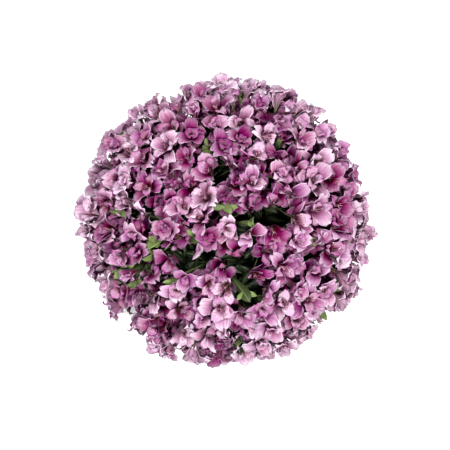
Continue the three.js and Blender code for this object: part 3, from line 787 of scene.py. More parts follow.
for group in (WHORL, LOWER):
    for umbel in umbels:
        grow_leaves(umbel, group, leaf_draw)
print(sum(len(umbel.leaves) for umbel in umbels), "leaves where the frame has them")

# %% [markdown]
# A leaf that comes up between blooms bends over and lies on their tepals, face up. The frame's plain
# one stops short of that, so here its knee and tip are drawn out further. Its stalk carries a few
# smaller leaves too, because it is really a shoot that has no flower.

# %% Shoots between the blooms
LAID_KNEE = 32 * MM
LAID_TIP = SimpleNamespace(up=2 * MM, out=16 * MM)
LAID_WIDTH = (14, 10)
SHOOT = SimpleNamespace(
    count=2, at=0.62, drift=0.7, open=(0.5, 0.9), length=(16, 17), droop=(2, 5), width=(8, 7),
)


def lay_over(leaf, draw):
    """Draws a leaf out until it lies on the blooms."""
    leaf.knee = leaf.knee + leaf.place.normal * LAID_KNEE
    leaf.tip = leaf.tip + leaf.place.normal * LAID_TIP.up + leaf.nod * LAID_TIP.out * draw()
    leaf.width = between(draw, *LAID_WIDTH) * MM


def small_leaves(leaf, draw):
    """Leaves round the stalk of a leaf that comes up between the blooms."""
    leaves = []
    for i in range(SHOOT.count):
        opening = between(draw, *SHOOT.open)
        aside = around(leaf.place.normal, 2 * math.pi * (i + SHOOT.drift * draw()) / SHOOT.count)
        direction = leaf.place.normal * math.cos(opening) + aside * math.sin(opening)
        length = between(draw, *SHOOT.length) * MM
        droop = between(draw, *SHOOT.droop) * MM
        small = free_leaf(on_midline(leaf, SHOOT.at), direction, length, droop, 0)
        small.width = between(draw, *SHOOT.width) * MM
        small.lit = True
        leaves.append(small)
    return leaves


shoot_draw = seeded_draws(59)
for umbel in umbels:
    for leaf in [leaf for leaf in umbel.leaves if leaf.stalked]:
        lay_over(leaf, shoot_draw)
        umbel.leaves += small_leaves(leaf, shoot_draw)
print(sum(len(umbel.leaves) for umbel in umbels), "leaves with those of the shoots")

# %% [markdown]
# Real alstroemeria also has a dense whorl of small leaves right under each umbel. The frame leaves
# them out, and it's they that make the inside of the bouquet dark and green, because little light
# gets past them. Their tone paints them dark as well, as painted shade. They open almost flat, so they
# stay under the pedicels.

# %% Bracts under each umbel
BRACT_ROWS = [
    SimpleNamespace(count=6, below=3 * MM, open=(1.15, 0.25), length=(46, 16), turn=0.0),
    SimpleNamespace(count=6, below=14 * MM, open=(1.3, 0.3), length=(62, 18), turn=0.5),
    SimpleNamespace(count=5, below=32 * MM, open=(1.1, 0.35), length=(70, 20), turn=0.2),
]
BRACT_DRIFT = 0.25
BRACT_DROOP = (2, 10)
BRACT_WIDTH = (12, 5)


def grow_bracts(umbel, draw):
    """Rows of small leaves that open almost flat."""
    bracts = []
    for row in BRACT_ROWS:
        for i in range(row.count):
            at = umbel.line.share_below(row.below)
            stemward = umbel.line.direction(at)
            angle = 2 * math.pi * (i + row.turn) / row.count + spread(draw, BRACT_DRIFT)
            opening = between(draw, *row.open)
            direction = stemward * math.cos(opening) + around(stemward, angle) * math.sin(opening)
            length = between(draw, *row.length) * MM
            droop = between(draw, *BRACT_DROOP) * MM
            bract = free_leaf(umbel.line.at(at), direction, length, droop, 0)
            bract.width = between(draw, *BRACT_WIDTH) * MM
            bract.shaded = True
            bracts.append(bract)
    return bracts


# %% [markdown]
# The stems that arch outwards leave wide gaps between them, through which the floor would show. On
# them a fan of broad, level leaves spreads outwards, like an apron under the blooms. They are painted
# dark, as shade, less so towards the rim.

# %% An apron of leaves
APRON = SimpleNamespace(
    count=17, below=4 * MM, step=7 * MM, fan=0.3, drift=0.2, rise=(-0.1, 0.3), length=(84, 26),
    droop=(4, 12), width=(20, 9),
)


def grow_apron(umbel, draw):
    """Level leaves that fan out, the outermost ones lowest on the stem."""
    leaves = []
    for i in range(APRON.count):
        turned = i - (APRON.count - 1) / 2
        at = umbel.line.share_below(APRON.below + APRON.step * abs(turned))
        angle = umbel.azimuth + turned * APRON.fan + spread(draw, APRON.drift)
        direction = unit(np.array([math.cos(angle), math.sin(angle), between(draw, *APRON.rise)]))
        length = between(draw, *APRON.length) * MM
        droop = between(draw, *APRON.droop) * MM
        leaf = free_leaf(umbel.line.at(at), direction, length, droop, 0)
        leaf.width = between(draw, *APRON.width) * MM
        leaf.shaded = True
        leaves.append(leaf)
    return leaves


bract_draw = seeded_draws(67)
for umbel in umbels:
    umbel.leaves += grow_bracts(umbel, bract_draw)
    if umbel.ring.slope > 0:
        umbel.leaves += grow_apron(umbel, bract_draw)
print(sum(len(umbel.leaves) for umbel in umbels), "leaves with the bracts and the apron")

# %% [markdown]
# ## A short way to write materials
#
# A finish is a tree of nodes, and wiring it by hand takes many lines. This small helper adds a node,
# fills its sockets with numbers or links, and returns what comes out, so that a finish reads as a
# recipe. Numbers that are the same all over the surface stay on the shader's own sockets.

# %% Recipes
class Recipe:
    """A material that is built up from its shader by adding nodes."""

    def __init__(self, name, shader):
        self.material = bpy.data.materials.new(name)
        self.material.use_nodes = True
        self.tree = self.material.node_tree
        self.shader = self.tree.nodes["Principled BSDF"]
        for socket, value in shader.items():
            self.shader.inputs[socket].default_value = value

    def add(self, kind, inputs, out=0, **settings):
        """A node with its inputs filled, each by a number or by what comes out of another node."""
        node = self.tree.nodes.new(kind)
        for key, value in settings.items():
            setattr(node, key, value)
        for key, value in inputs.items():
            if isinstance(value, bpy.types.NodeSocket):
                self.tree.links.new(value, node.inputs[key])
            else:
                node.inputs[key].default_value = value
        return node.outputs[out]

    def math(self, operation, a, b=0.0):
        return self.add("ShaderNodeMath", {0: a, 1: b}, operation=operation)

    def blend(self, factor, a, b):
        """Colour a where the factor is 0, and colour b where it is 1."""
        return self.add("ShaderNodeMix", {0: factor, 6: a, 7: b}, out=2, data_type="RGBA")

    def ramp(self, factor, stops):
        """A colour for each level of the factor: stops are (level, (red, green, blue))."""
        socket = self.add("ShaderNodeValToRGB", {0: factor})
        elements = socket.node.color_ramp.elements
        while len(elements) < len(stops):
            elements.new(0.5)
        for element, (level, colour) in zip(elements, stops):
            element.position = level
            element.color = (*colour, 1)
        return socket

    def step(self, value, low, high):
        """0 below low, 1 above high, and smooth between them."""
        inputs = {0: value, 1: low, 2: high, 3: 0.0, 4: 1.0}
        return self.add("ShaderNodeMapRange", inputs, interpolation_type="SMOOTHSTEP")

    def noise(self, vector, scale, detail=2.0, roughness=0.5):
        inputs = {"Vector": vector, "Scale": scale, "Detail": detail, "Roughness": roughness}
        return self.add("ShaderNodeTexNoise", inputs)

    def attribute(self, name):
        return self.add("ShaderNodeAttribute", {}, out=2, attribute_name=name)

    def blade_uv(self):
        """How far along a blade from its root, and how far across it, each from 0 to 1."""
        split = self.add("ShaderNodeSeparateXYZ", {0: self.add("ShaderNodeUVMap", {}, uv_map="UVMap")})
        return split, split.node.outputs[1]

    def off_middle(self, across_it):
        """How far a spot is from the middle of a blade, from 0 to 0.5."""
        return self.math("ABSOLUTE", self.math("SUBTRACT", across_it, 0.5))

    def streaks(self, along, across_it, tone, length_scale, width_scale):
        """Noise drawn out along the blade, different on every blade by its tone."""
        vector = self.add("ShaderNodeCombineXYZ", {
            0: self.math("MULTIPLY", along, length_scale),
            1: self.math("MULTIPLY", across_it, width_scale),
            2: self.math("MULTIPLY", tone, 40.0),  # blades of nearly one tone still differ
        })
        return self.noise(vector, 1.0, 3.0)

    def object_place(self):
        """Object coordinates, which stay with the piece."""
        return self.add("ShaderNodeTexCoord", {}, out=3)

    def object_noise(self, scale, detail=2.0):
        return self.noise(self.object_place(), scale, detail)

    def finish(self, colour, bump=None, strength=0.3, depth=0.3 * MM):
        """Joins the colour and the bump to the shader, and gives the finished material."""
        self.tree.links.new(colour, self.shader.inputs["Base Color"])
        if bump:
            inputs = {"Height": bump, "Strength": strength, "Distance": depth}
            self.tree.links.new(self.add("ShaderNodeBump", inputs), self.shader.inputs["Normal"])
        return self.material


# %% [markdown]
# ## Finishes of the tepals
#
# An alstroemeria has six tepals. The three outer ones are broad and plain mauve, with a painted
# highlight along their margin, fine veins that run lengthwise and a small green point. The inner ones
# are narrow, with a pale cheek and dark flecks, like brush strokes, that guide insects into the throat.
# The backs are duller, with a greenish midrib. Each tepal carries a number, its tone, so no two have
# one colour. The tone also carries painted light and shade.

# %% What all tepals share
# The tone carries painted light and shade as well as each tepal's own colour, and dark tones are painted
# fuller in colour, as shaded petals look.
TONE_VALUE = (0.55, 0.57)  # how bright a tepal of tone 0 is, and how much brighter one of tone 1
TONE_HUE = (0.486, 0.016)  # its hue, where 0.5 leaves the colour as it is, and how much bluer at tone 1
TONE_SATURATION = (1.6, 0.92)  # how full its colour is, and how much of that is lost at tone 1
HUE_DRIFT = 0.032
DRIFTS = 7.3  # how often the drift runs through its range between tone 0 and tone 1
FINE_STREAKS = SimpleNamespace(scales=(1.6, 26), share=0.4)  # scales along and across the tepal
BROAD_STREAKS = SimpleNamespace(scales=(1.3, 9), share=0.6)
THIN_FLESH = {
    "Roughness": 0.6, "Specular IOR Level": 0.06, "Subsurface Weight": 0.15, "Subsurface Scale": 2 * MM,
    "Subsurface Radius": (1, 0.4, 0.7),
}


def tinted(recipe, colour, tone):
    """Each tepal is a little lighter or darker and pinker or bluer than the next."""
    value = recipe.math("ADD", TONE_VALUE[0], recipe.math("MULTIPLY", tone, TONE_VALUE[1]))
    drift = recipe.math("FRACT", recipe.math("MULTIPLY", tone, DRIFTS))
    bluer = recipe.math("SUBTRACT", TONE_HUE[0], recipe.math("MULTIPLY", tone, TONE_HUE[1]))
    hue = recipe.math("ADD", bluer, recipe.math("MULTIPLY", drift, HUE_DRIFT))
    paler = recipe.math("MULTIPLY", tone, TONE_SATURATION[1])
    saturation = recipe.math("SUBTRACT", TONE_SATURATION[0], paler)
    return recipe.add("ShaderNodeHueSaturation", {
        "Hue": hue, "Saturation": saturation, "Value": value, "Fac": 1.0, "Color": colour,
    })


def tepal_recipe(name):
    """What every tepal's finish starts from: thin flesh, and streaks along it."""
    recipe = Recipe(name, THIN_FLESH)
    along, across_it = recipe.blade_uv()
    tone = recipe.attribute("tone")
    weighed = [
        recipe.math("MULTIPLY", recipe.streaks(along, across_it, tone, *kind.scales), kind.share)
        for kind in (FINE_STREAKS, BROAD_STREAKS)
    ]
    return recipe, along, recipe.off_middle(across_it), tone, recipe.math("ADD", *weighed)


# %% [markdown]
# On an outer tepal, streaks fray the dark throat into the mauve, dark veins run along it, and the
# margin carries a painted highlight. The throat is partly the tepal's own deep colour and partly
# painted shade, the shade that falls between the tepals of a bloom. Each of these is a mask from 0 to 1
# that blends one more colour in.

# %% Outer tepals
def outer_tepal_face():
    recipe, along, off_middle, tone, streaks = tepal_recipe("outer tepal, face")
    frayed = recipe.math("ADD", along, recipe.math("MULTIPLY", recipe.math("SUBTRACT", streaks, 0.5), 0.25))
    # the dark band near the root is partly the tepal's own colour and partly painted shade between the
    # tepals
    body = recipe.ramp(frayed, [
        (0.0, (0.12, 0.1, 0.03)), (0.16, (0.1, 0.01, 0.035)), (0.34, (0.19, 0.055, 0.125)),
        (0.55, (0.35, 0.175, 0.275)), (0.95, (0.6, 0.46, 0.565)),
    ])
    veins = recipe.math("MULTIPLY", recipe.step(streaks, 0.48, 0.62), 0.55)
    veined = recipe.blend(veins, body, (0.17, 0.035, 0.1, 1))
    # painted highlight: the margin is lightened as if light caught the tepal's edge
    edge_highlight = recipe.math("MULTIPLY", recipe.step(off_middle, 0.41, 0.49), 0.62)
    highlighted = recipe.blend(edge_highlight, veined, (0.68, 0.56, 0.655, 1))
    point = recipe.math("MULTIPLY", recipe.step(along, 0.84, 0.95), recipe.step(off_middle, 0.2, 0.08))
    pointed = recipe.blend(point, highlighted, (0.1, 0.12, 0.05, 1))
    return recipe.finish(tinted(recipe, pointed, tone), streaks)


def outer_tepal_back():
    recipe, along, off_middle, tone, streaks = tepal_recipe("outer tepal, back")
    # the pale end is partly the back's own paler colour and partly painted light for the backs at the rim,
    # which the lamps overhead reach less
    body = recipe.ramp(along, [
        (0.0, (0.11, 0.13, 0.04)), (0.2, (0.16, 0.06, 0.09)), (0.5, (0.33, 0.175, 0.27)),
        (0.95, (0.64, 0.49, 0.6)),
    ])
    veins = recipe.math("MULTIPLY", recipe.step(streaks, 0.5, 0.7), 0.3)
    veined = recipe.blend(veins, body, (0.18, 0.06, 0.12, 1))
    rib = recipe.math("MULTIPLY", recipe.step(off_middle, 0.07, 0.02), 0.6)
    ribbed = recipe.blend(rib, veined, (0.12, 0.1, 0.06, 1))
    point = recipe.math("MULTIPLY", recipe.step(along, 0.8, 0.93), recipe.step(off_middle, 0.26, 0.1))
    pointed = recipe.blend(point, ribbed, (0.07, 0.08, 0.03, 1))
    return recipe.finish(tinted(recipe, pointed, tone), streaks)


OUTER_FINISH = (outer_tepal_face(), outer_tepal_back())
print("finishes of the outer tepals:", [material.name for material in OUTER_FINISH])

# %% [markdown]
# An inner tepal is palest at its cheek, halfway along. The flecks there are streaks again, but finer,
# and cut off sharply, so that they read as strokes.

# %% Inner tepals
def inner_tepal_face():
    recipe, along, off_middle, tone, streaks = tepal_recipe("inner tepal, face")
    body = recipe.ramp(along, [
        (0.0, (0.15, 0.12, 0.04)), (0.24, (0.11, 0.012, 0.035)), (0.41, (0.32, 0.12, 0.21)),
        (0.58, (0.5, 0.34, 0.43)), (0.75, (0.44, 0.25, 0.375)), (1.0, (0.36, 0.155, 0.28)),
    ])
    flecks = recipe.streaks(along, off_middle, tone, 11, 34)
    on_cheek = recipe.math("MULTIPLY", recipe.step(along, 0.17, 0.27), recipe.step(along, 0.78, 0.62))
    marks = recipe.math("MULTIPLY", recipe.step(flecks, 0.56, 0.6), on_cheek)
    marked = recipe.blend(marks, body, (0.05, 0.004, 0.015, 1))
    return recipe.finish(tinted(recipe, marked, tone), streaks)


def inner_tepal_back():
    recipe, along, off_middle, tone, streaks = tepal_recipe("inner tepal, back")
    body = recipe.ramp(along, [
        (0.0, (0.16, 0.17, 0.06)), (0.32, (0.34, 0.18, 0.265)), (1.0, (0.36, 0.165, 0.275)),
    ])
    rib = recipe.math("MULTIPLY", recipe.step(off_middle, 0.12, 0.03), 0.5)
    ribbed = recipe.blend(rib, body, (0.2, 0.08, 0.1, 1))
    return recipe.finish(tinted(recipe, ribbed, tone), streaks)


INNER_FINISH = (inner_tepal_face(), inner_tepal_back())
print("finishes of the inner tepals:", [material.name for material in INNER_FINISH])

# %% [markdown]
# ## Finishes of leaves, stems, stamens and twine
#
# Alstroemeria leaves are satin green with parallel veins and a pale midrib, and greyer behind. The
# dark and the light green of a leaf lie far apart, because its tone is painted light and shade: bright
# green where a leaf is lit, and near black where it lies in shade. The stems are pale at the foot and
# dark under the blooms, with fibres that run along them.

# %% Greens
VEIN_SCALES = (1.2, 30)  # along and across a leaf
FIBRE_STRETCH = (1, 1, 0.06)  # the fibres of a stem are drawn out upwards
FIBRE_SCALE = 900


def leaf_recipe(name, dark, light, rib_colour, roughness):
    recipe = Recipe(name, {"Roughness": roughness, "Specular IOR Level": 0.2})
    along, across_it = recipe.blade_uv()
    tone = recipe.attribute("tone")
    streaks = recipe.streaks(along, across_it, tone, *VEIN_SCALES)
    lit = recipe.math("ADD", tone, recipe.math("MULTIPLY", recipe.math("SUBTRACT", streaks, 0.5), 0.5))
    body = recipe.ramp(lit, [(0.15, dark), (0.85, light)])
    rib = recipe.math("MULTIPLY", recipe.step(recipe.off_middle(across_it), 0.05, 0.015), 0.7)
    ribbed = recipe.blend(rib, body, rib_colour)
    return recipe.finish(ribbed, streaks, strength=0.5, depth=0.4 * MM)


def stem_green():
    recipe = Recipe("stem green", {"Roughness": 0.45})
    place = recipe.object_place()
    drawn_up = recipe.add("ShaderNodeMapping", {0: place, 3: FIBRE_STRETCH})
    fibre = recipe.noise(drawn_up, FIBRE_SCALE, detail=3.0)
    height = recipe.add("ShaderNodeSeparateXYZ", {0: place}, out=2)
    body = recipe.ramp(recipe.math("ADD", height, recipe.math("MULTIPLY", fibre, 0.12)), [
        (0.05, (0.2, 0.26, 0.1)), (0.3, (0.1, 0.17, 0.05)), (0.5, (0.05, 0.065, 0.028)),
    ])
    return recipe.finish(body, fibre, strength=0.4)


LEAF_FINISH = (
    leaf_recipe("leaf, face", (0.013, 0.02, 0.01), (0.17, 0.22, 0.085), (0.17, 0.22, 0.08, 1), 0.45),
    leaf_recipe("leaf, back", (0.016, 0.023, 0.012), (0.2, 0.24, 0.105), (0.16, 0.19, 0.09, 1), 0.55),
)
STEM_FINISH = stem_green()
print("finishes of the greens:", [material.name for material in (*LEAF_FINISH, STEM_FINISH)])

# %% [markdown]
# What is left is thin: filaments, anthers, pedicels and twine. From a step away each is two colours
# that mix in a fine grain, so one recipe serves for all of them, and only the colours, the scale of
# the grain and the roughness differ. Jute is the roughest, and straw-coloured.

# %% Stamens, pedicels and twine
def flecked(name, dark, light, scale, roughness):
    recipe = Recipe(name, {"Roughness": roughness})
    grain = recipe.object_noise(scale, detail=3.0)
    return recipe.finish(recipe.ramp(grain, [(0.35, dark), (0.65, light)]), grain, strength=0.5)


FILAMENT_FINISH = flecked("filament", (0.55, 0.2, 0.34), (0.8, 0.5, 0.6), 400, 0.5)
ANTHER_FINISH = flecked("anther", (0.035, 0.02, 0.025), (0.12, 0.08, 0.07), 900, 0.8)
PEDICEL_FINISH = flecked("pedicel", (0.05, 0.075, 0.025), (0.12, 0.1, 0.06), 120, 0.5)
TWINE_FINISH = flecked("jute", (0.3, 0.2, 0.1), (0.62, 0.46, 0.27), 1500, 0.9)
print(len(bpy.data.materials), "materials so far, with those of the frame")

# %% [markdown]
# ## Modelling a blade
#
# Tepals and leaves are all blades: a narrow root that widens and closes to a tip. A flat grid is the
# natural start, because its rows become the stations along the blade, and its UV map then runs
# lengthwise. Each row is selected, widened and carried to its place with the transform tools. What no
# tool does well, the cup across the blade and the wave of its margin, is added by a formula. A
# Solidify modifier then gives the blade two faces and a closed rim.

# %% Shaping a blade
def points_of(piece):
    """The points of a mesh, a row for each."""
    co = np.empty(len(piece.data.vertices) * 3)
    piece.data.vertices.foreach_get("co", co)
    return co.reshape(-1, 3)


def move_points(piece, co):
    piece.data.vertices.foreach_set("co", co.ravel())
    piece.data.update()


def pick(edit, flags):
    """Selects the vertices that the flags name, and nothing else."""
    for vertex, flag in zip(edit.verts, flags):
        vertex.select_set(bool(flag))
    edit.select_flush(True)


def blade_through(name, columns, stations):
    """A grid whose rows are widened and carried to stations, each (out, rise, half-width)."""
    rows = len(stations) - 1
    bpy.ops.object.select_all(action="DESELECT")
    bpy.ops.mesh.primitive_grid_add(x_subdivisions=rows, y_subdivisions=columns, size=1, calc_uvs=True)
    blade = bpy.context.object
    blade.name = name
    flat = points_of(blade)
    bpy.ops.object.mode_set(mode="EDIT")
    for row, (out, rise, half) in enumerate(stations):
        level = row / rows - 0.5
        pick(bmesh.from_edit_mesh(blade.data), np.abs(flat[:, 0] - level) < 0.01)
        bpy.ops.transform.resize(value=(1, 2 * half, 1))
        bpy.ops.transform.translate(value=(out - level, 0, rise))
    bpy.ops.object.mode_set(mode="OBJECT")
    return blade, flat[:, 0] + 0.5, flat[:, 1] * 2


# %% [markdown]
# The blade gets its wall and its two finishes last. Its stations come from a curve that four corners
# lead, as in a drawing program, and from a few half-widths along it.

# %% Walls and stations
TIPWARD = 1.7  # above 1, the rows crowd towards the tip, which is the most curled part


def thicken(blade, thickness, finish):
    """Gives a blade its thickness, with one finish on its face and another on its back."""
    wall = blade.modifiers.new("Wall", "SOLIDIFY")
    wall.thickness = thickness
    wall.offset = 0
    for material in finish:
        blade.data.materials.append(material)
    wall.material_offset = 1
    bpy.ops.object.modifier_apply(modifier="Wall")
    blade.data.shade_smooth()


def bezier(corners, t):
    """A point on the smooth curve that four corners lead."""
    a, b, c, d = (np.array(corner, float) for corner in corners)
    return a * (1 - t) ** 3 + b * 3 * t * (1 - t) ** 2 + c * 3 * t * t * (1 - t) + d * t**3


def stations_along(corners, widths, rows):
    """Stations of a blade from the curve of its midline and a few half-widths along it."""
    shares, halves = zip(*widths)
    found = []
    for row in range(rows + 1):
        t = 1 - (1 - row / rows) ** TIPWARD
        out, rise = bezier(corners, t)
        found.append((out * MM, rise * MM, float(np.interp(t, shares, halves)) * MM))
    return found


# %% [markdown]
# The outer tepals curl out and show their broad faces, while the inner ones stay upright round the
# throat. Four outer and three inner ones are modelled, each with its own waves, and every bloom
# takes its six from them at small turns of its own.

# %% Tepals
FINE = (11, 8)  # rows and columns of a tepal in full view
PLAIN = (6, 4)  # and of one in the shade of the second row
TEPAL_THICKNESS = 0.45 * MM
ROLLED_MARGIN = 3.4 * MM
ROLL_FROM, ROLL_WIDE = 0.55, 0.45  # the outer part of each half that rolls back
CREASE = 1.3  # 2 would be a round trough, and 1 a sharp fold along the midrib
CUP_REACH = 1.15  # above 1, the cup ends before the tip
SLOPING = 0.7  # the share of a move at 45 degrees that goes in, and that goes up
WAVES = 2.8  # along the margin of a tepal
WAVE_SLANT = 0.4
WAVE_OUT = 0.5

# Midlines and tips are (out, rise) and widths are (share of the way, half-width), in millimetres.
OUTER = SimpleNamespace(
    name="outer tepal", finish=OUTER_FINISH, cup=5.5 * MM, wave=3.4 * MM, phase=0.27,
    midline=[(0.9, -1.5), (7, 12), (14, 31)],
    tips=[(31, 34), (34, 28), (27, 38), (34, 24)],
    widths=[
        (0, 1.6), (0.2, 4.2), (0.4, 8.4), (0.6, 11.3), (0.76, 12.6), (0.84, 12.2), (0.9, 10.8),
        (0.95, 8.5), (0.985, 5.2), (1, 2),
    ],
)
INNER = SimpleNamespace(
    name="inner tepal", finish=INNER_FINISH, cup=4.5 * MM, wave=2.2 * MM, phase=0.4,
    midline=[(0.7, -1), (5, 13), (8, 30)],
    tips=[(22, 35), (25, 30), (17, 38)],
    widths=[(0, 1.2), (0.25, 3.6), (0.5, 7.2), (0.72, 9), (0.84, 8.5), (0.92, 6.5), (0.97, 4), (1, 1.4)],
)


def tepal(kind, grid, i):
    """One tepal of its kind, cupped and rolled, with a tip and waves of its own."""
    rows, columns = grid
    stations = stations_along([*kind.midline, kind.tips[i]], kind.widths, rows)
    blade, along, side = blade_through(f"{kind.name} {i}", columns, stations)
    co = points_of(blade)
    inward = kind.cup * np.sin(math.pi * np.clip(along * CUP_REACH, 0, 1)) * np.abs(side) ** CREASE
    rolled = ROLLED_MARGIN * along * np.clip((np.abs(side) - ROLL_FROM) / ROLL_WIDE, 0, 1) ** 2
    waving = np.sin(2 * math.pi * (WAVES * along + kind.phase * i + WAVE_SLANT * side))
    ruffle = kind.wave * along * side**2 * waving
    co[:, 0] -= (inward - rolled) * SLOPING + ruffle * WAVE_OUT
    co[:, 2] += (inward - rolled) * SLOPING + ruffle
    move_points(blade, co)
    thicken(blade, TEPAL_THICKNESS, kind.finish)
    return blade


def tepal_set(grid):
    """All outer and all inner tepals on one grid."""
    return [[tepal(kind, grid, i) for i in range(len(kind.tips))] for kind in (OUTER, INNER)]


fine_tepals = tepal_set(FINE)
plain_tepals = tepal_set(PLAIN)
face_counts = [len(tepals[0][0].data.polygons) for tepals in (fine_tepals, plain_tepals)]
print("a tepal has", face_counts[0], "or", face_counts[1], "faces")

# %% [markdown]
# A bud is three tepals wrapped round each other. The same grid serves, but its rows are bent round the
# bud's axis, which is again a formula.

# %% Bud scales
BUD_LENGTH = 24 * MM
BUD_RADIUS = 4.6 * MM
BUD_WRAP = 1.25  # how far a scale reaches round to each side, in radians
BUD_LAP = 0.1  # one margin of a scale lies this much outside the next scale
BUD_ENDS = (0.03, 0.985)  # it stays a little open at both ends
BUD_LOWEST = 0.85  # below 1, it is widest under its middle
BUD_FULLNESS = 0.75  # below 1, it is fuller than a plain arch
BUD_SUNK = 1.5 * MM
BUD_ROWS, BUD_COLUMNS = 7, 4


def bud_scale():
    """One scale of a bud, wrapped round the bud's axis."""
    scale, along, side = blade_through("bud scale", BUD_COLUMNS, [(0, 0, 1 * MM)] * BUD_ROWS)
    arch = np.sin(math.pi * np.clip(along, *BUD_ENDS) ** BUD_LOWEST)
    radius = BUD_RADIUS * arch**BUD_FULLNESS * (1 + BUD_LAP * (1 - side))
    angle = side * BUD_WRAP
    co = np.stack([radius * np.cos(angle), radius * np.sin(angle), along * BUD_LENGTH - BUD_SUNK], axis=1)
    move_points(scale, co)
    thicken(scale, TEPAL_THICKNESS, OUTER_FINISH[::-1])
    bpy.ops.object.mode_set(mode="EDIT")
    bpy.ops.mesh.select_all(action="SELECT")
    bpy.ops.mesh.normals_make_consistent(inside=False)
    bpy.ops.object.mode_set(mode="OBJECT")
    return scale


bud = bud_scale()
print("a bud's scale has", len(bud.data.polygons), "faces")

# %% [markdown]
# ## Stamens and pistil
#
# Six stamens arch up out of the throat with a dark anther each, round one pistil. The pistil's forked
# tip is so small that a knob stands for it. A filament is a small ring extruded step by step, which is
# how a thin tapering stalk is drawn out by hand, and an anther is a stretched ball of few faces.

# %% Drawing out stalks
def drawn_out(name, sides, rings, material):
    """A closed stalk: a disc extruded through rings, each (place, radius)."""
    bpy.ops.object.select_all(action="DESELECT")
    place, radius = rings[0]
    bpy.ops.mesh.primitive_circle_add(vertices=sides, radius=radius, fill_type="NGON", location=(0, 0, 0))
    stalk = bpy.context.object
    stalk.name = name
    bpy.ops.object.mode_set(mode="EDIT")
    bpy.ops.mesh.select_all(action="SELECT")
    bpy.ops.transform.translate(value=place)
    for next_place, next_radius in rings[1:]:
        step = Vector(next_place) - Vector(place)
        bpy.ops.mesh.extrude_region_move(TRANSFORM_OT_translate={"value": step})
        k = next_radius / radius
        bpy.ops.transform.resize(value=(k, k, 1), center_override=next_place)
        place, radius = next_place, next_radius
    bpy.ops.mesh.select_all(action="SELECT")
    bpy.ops.mesh.normals_make_consistent(inside=False)
    bpy.ops.object.mode_set(mode="OBJECT")
    stalk.data.materials.append(material)
    stalk.data.shade_smooth()
    return stalk


def ball(name, place, half_sizes, material):
    """A ball of few faces, stretched to its half-sizes."""
    bpy.ops.object.select_all(action="DESELECT")
    bpy.ops.mesh.primitive_ico_sphere_add(subdivisions=1, radius=1)
    lump = bpy.context.object
    lump.name = name
    bpy.ops.object.mode_set(mode="EDIT")
    bpy.ops.mesh.select_all(action="SELECT")
    bpy.ops.transform.resize(value=half_sizes)
    bpy.ops.transform.translate(value=place)
    bpy.ops.object.mode_set(mode="OBJECT")
    lump.data.materials.append(material)
    lump.data.shade_smooth()
    return lump


def joined(name, parts):
    """One object from several, with the place in its mesh."""
    bpy.ops.object.select_all(action="DESELECT")
    for part in parts:
        part.select_set(True)
    bpy.context.view_layer.objects.active = parts[0]
    bpy.ops.object.join()
    whole = bpy.context.object
    whole.name = name
    return whole


# %% [markdown]
# The stamens of one bloom are never of one length or quite evenly spread. A sine of the stamen's
# number gives each its own small difference, with no draw needed, and the heart that comes out of it
# is turned with each bloom.

# %% A bloom's heart
FILAMENT_SIDES = 4
STAMENS = 6
STAMEN_LENGTH = 27 * MM
STAMEN_SPREAD = 4.2 * MM
STAMEN_STRAY = 12  # degrees
UNEVEN_SPREAD = 0.3
UNEVEN_LENGTH = 0.1
ANTHER_HALVES = (1.1 * MM, 1.1 * MM, 2.3 * MM)
# shares of the spread and of the length, and the radius in millimetres
FILAMENT_STATIONS = [(0.15, 0.02, 0.5), (0.2, 0.4, 0.42), (0.5, 0.75, 0.36), (1.0, 1.0, 0.3)]
PISTIL_STATIONS = [(0, 0.7), (12, 0.6), (22, 0.5), (24, 0.9)]  # height and radius, in millimetres


def stamens():
    """All stamens of a bloom, round its pistil."""
    parts = []
    for k in range(STAMENS):
        angle = math.radians(360 / STAMENS * k + STAMEN_STRAY * math.sin(5 * k))
        reach = STAMEN_SPREAD * (1 + UNEVEN_SPREAD * math.sin(3 * k + 1))
        top = STAMEN_LENGTH * (1 + UNEVEN_LENGTH * math.cos(4 * k))
        way = [
            (Vector((math.cos(angle) * reach * s, math.sin(angle) * reach * s, top * h)), r * MM)
            for s, h, r in FILAMENT_STATIONS
        ]
        parts.append(drawn_out("filament", FILAMENT_SIDES, way, FILAMENT_FINISH))
        parts.append(ball("anther", way[-1][0], ANTHER_HALVES, ANTHER_FINISH))
    style = [(Vector((0, 0, height * MM)), radius * MM) for height, radius in PISTIL_STATIONS]
    parts.append(drawn_out("pistil", FILAMENT_SIDES, style, FILAMENT_FINISH))
    return joined("stamens", parts)


heart = stamens()
print("a bloom's heart has", len(heart.data.polygons), "faces")

# %% [markdown]
# ## Leaves to copy
#
# Two blades serve for all leaves: a lance-shaped one, and one with a long stalk for the leaves that
# come up between the blooms. They are modelled flat, one unit long and one wide, and bent along each
# leaf's own midline when they are copied.

# %% Leaf blades
FINE_LEAF = (8, 4)  # rows and columns
PLAIN_LEAF = (5, 2)
LEAF_THICKNESS = 0.045  # this and the next two are in shares of the leaf's width
LEAF_FOLD = 0.16
LEAF_RIPPLE = 0.035
RIPPLES = 9  # radians of the ripple along a leaf
RIPPLE_SLANT = 1.5

# Half-widths, each as (share of the length, share of the width).
LANCE = [
    (0, 0.05), (0.1, 0.12), (0.26, 0.36), (0.45, 0.5), (0.62, 0.5), (0.8, 0.34), (0.93, 0.14), (1, 0.02),
]
STALKED = [
    (0, 0.06), (0.3, 0.12), (0.45, 0.34), (0.6, 0.56), (0.72, 0.58), (0.86, 0.36), (0.95, 0.14), (1, 0.02),
]


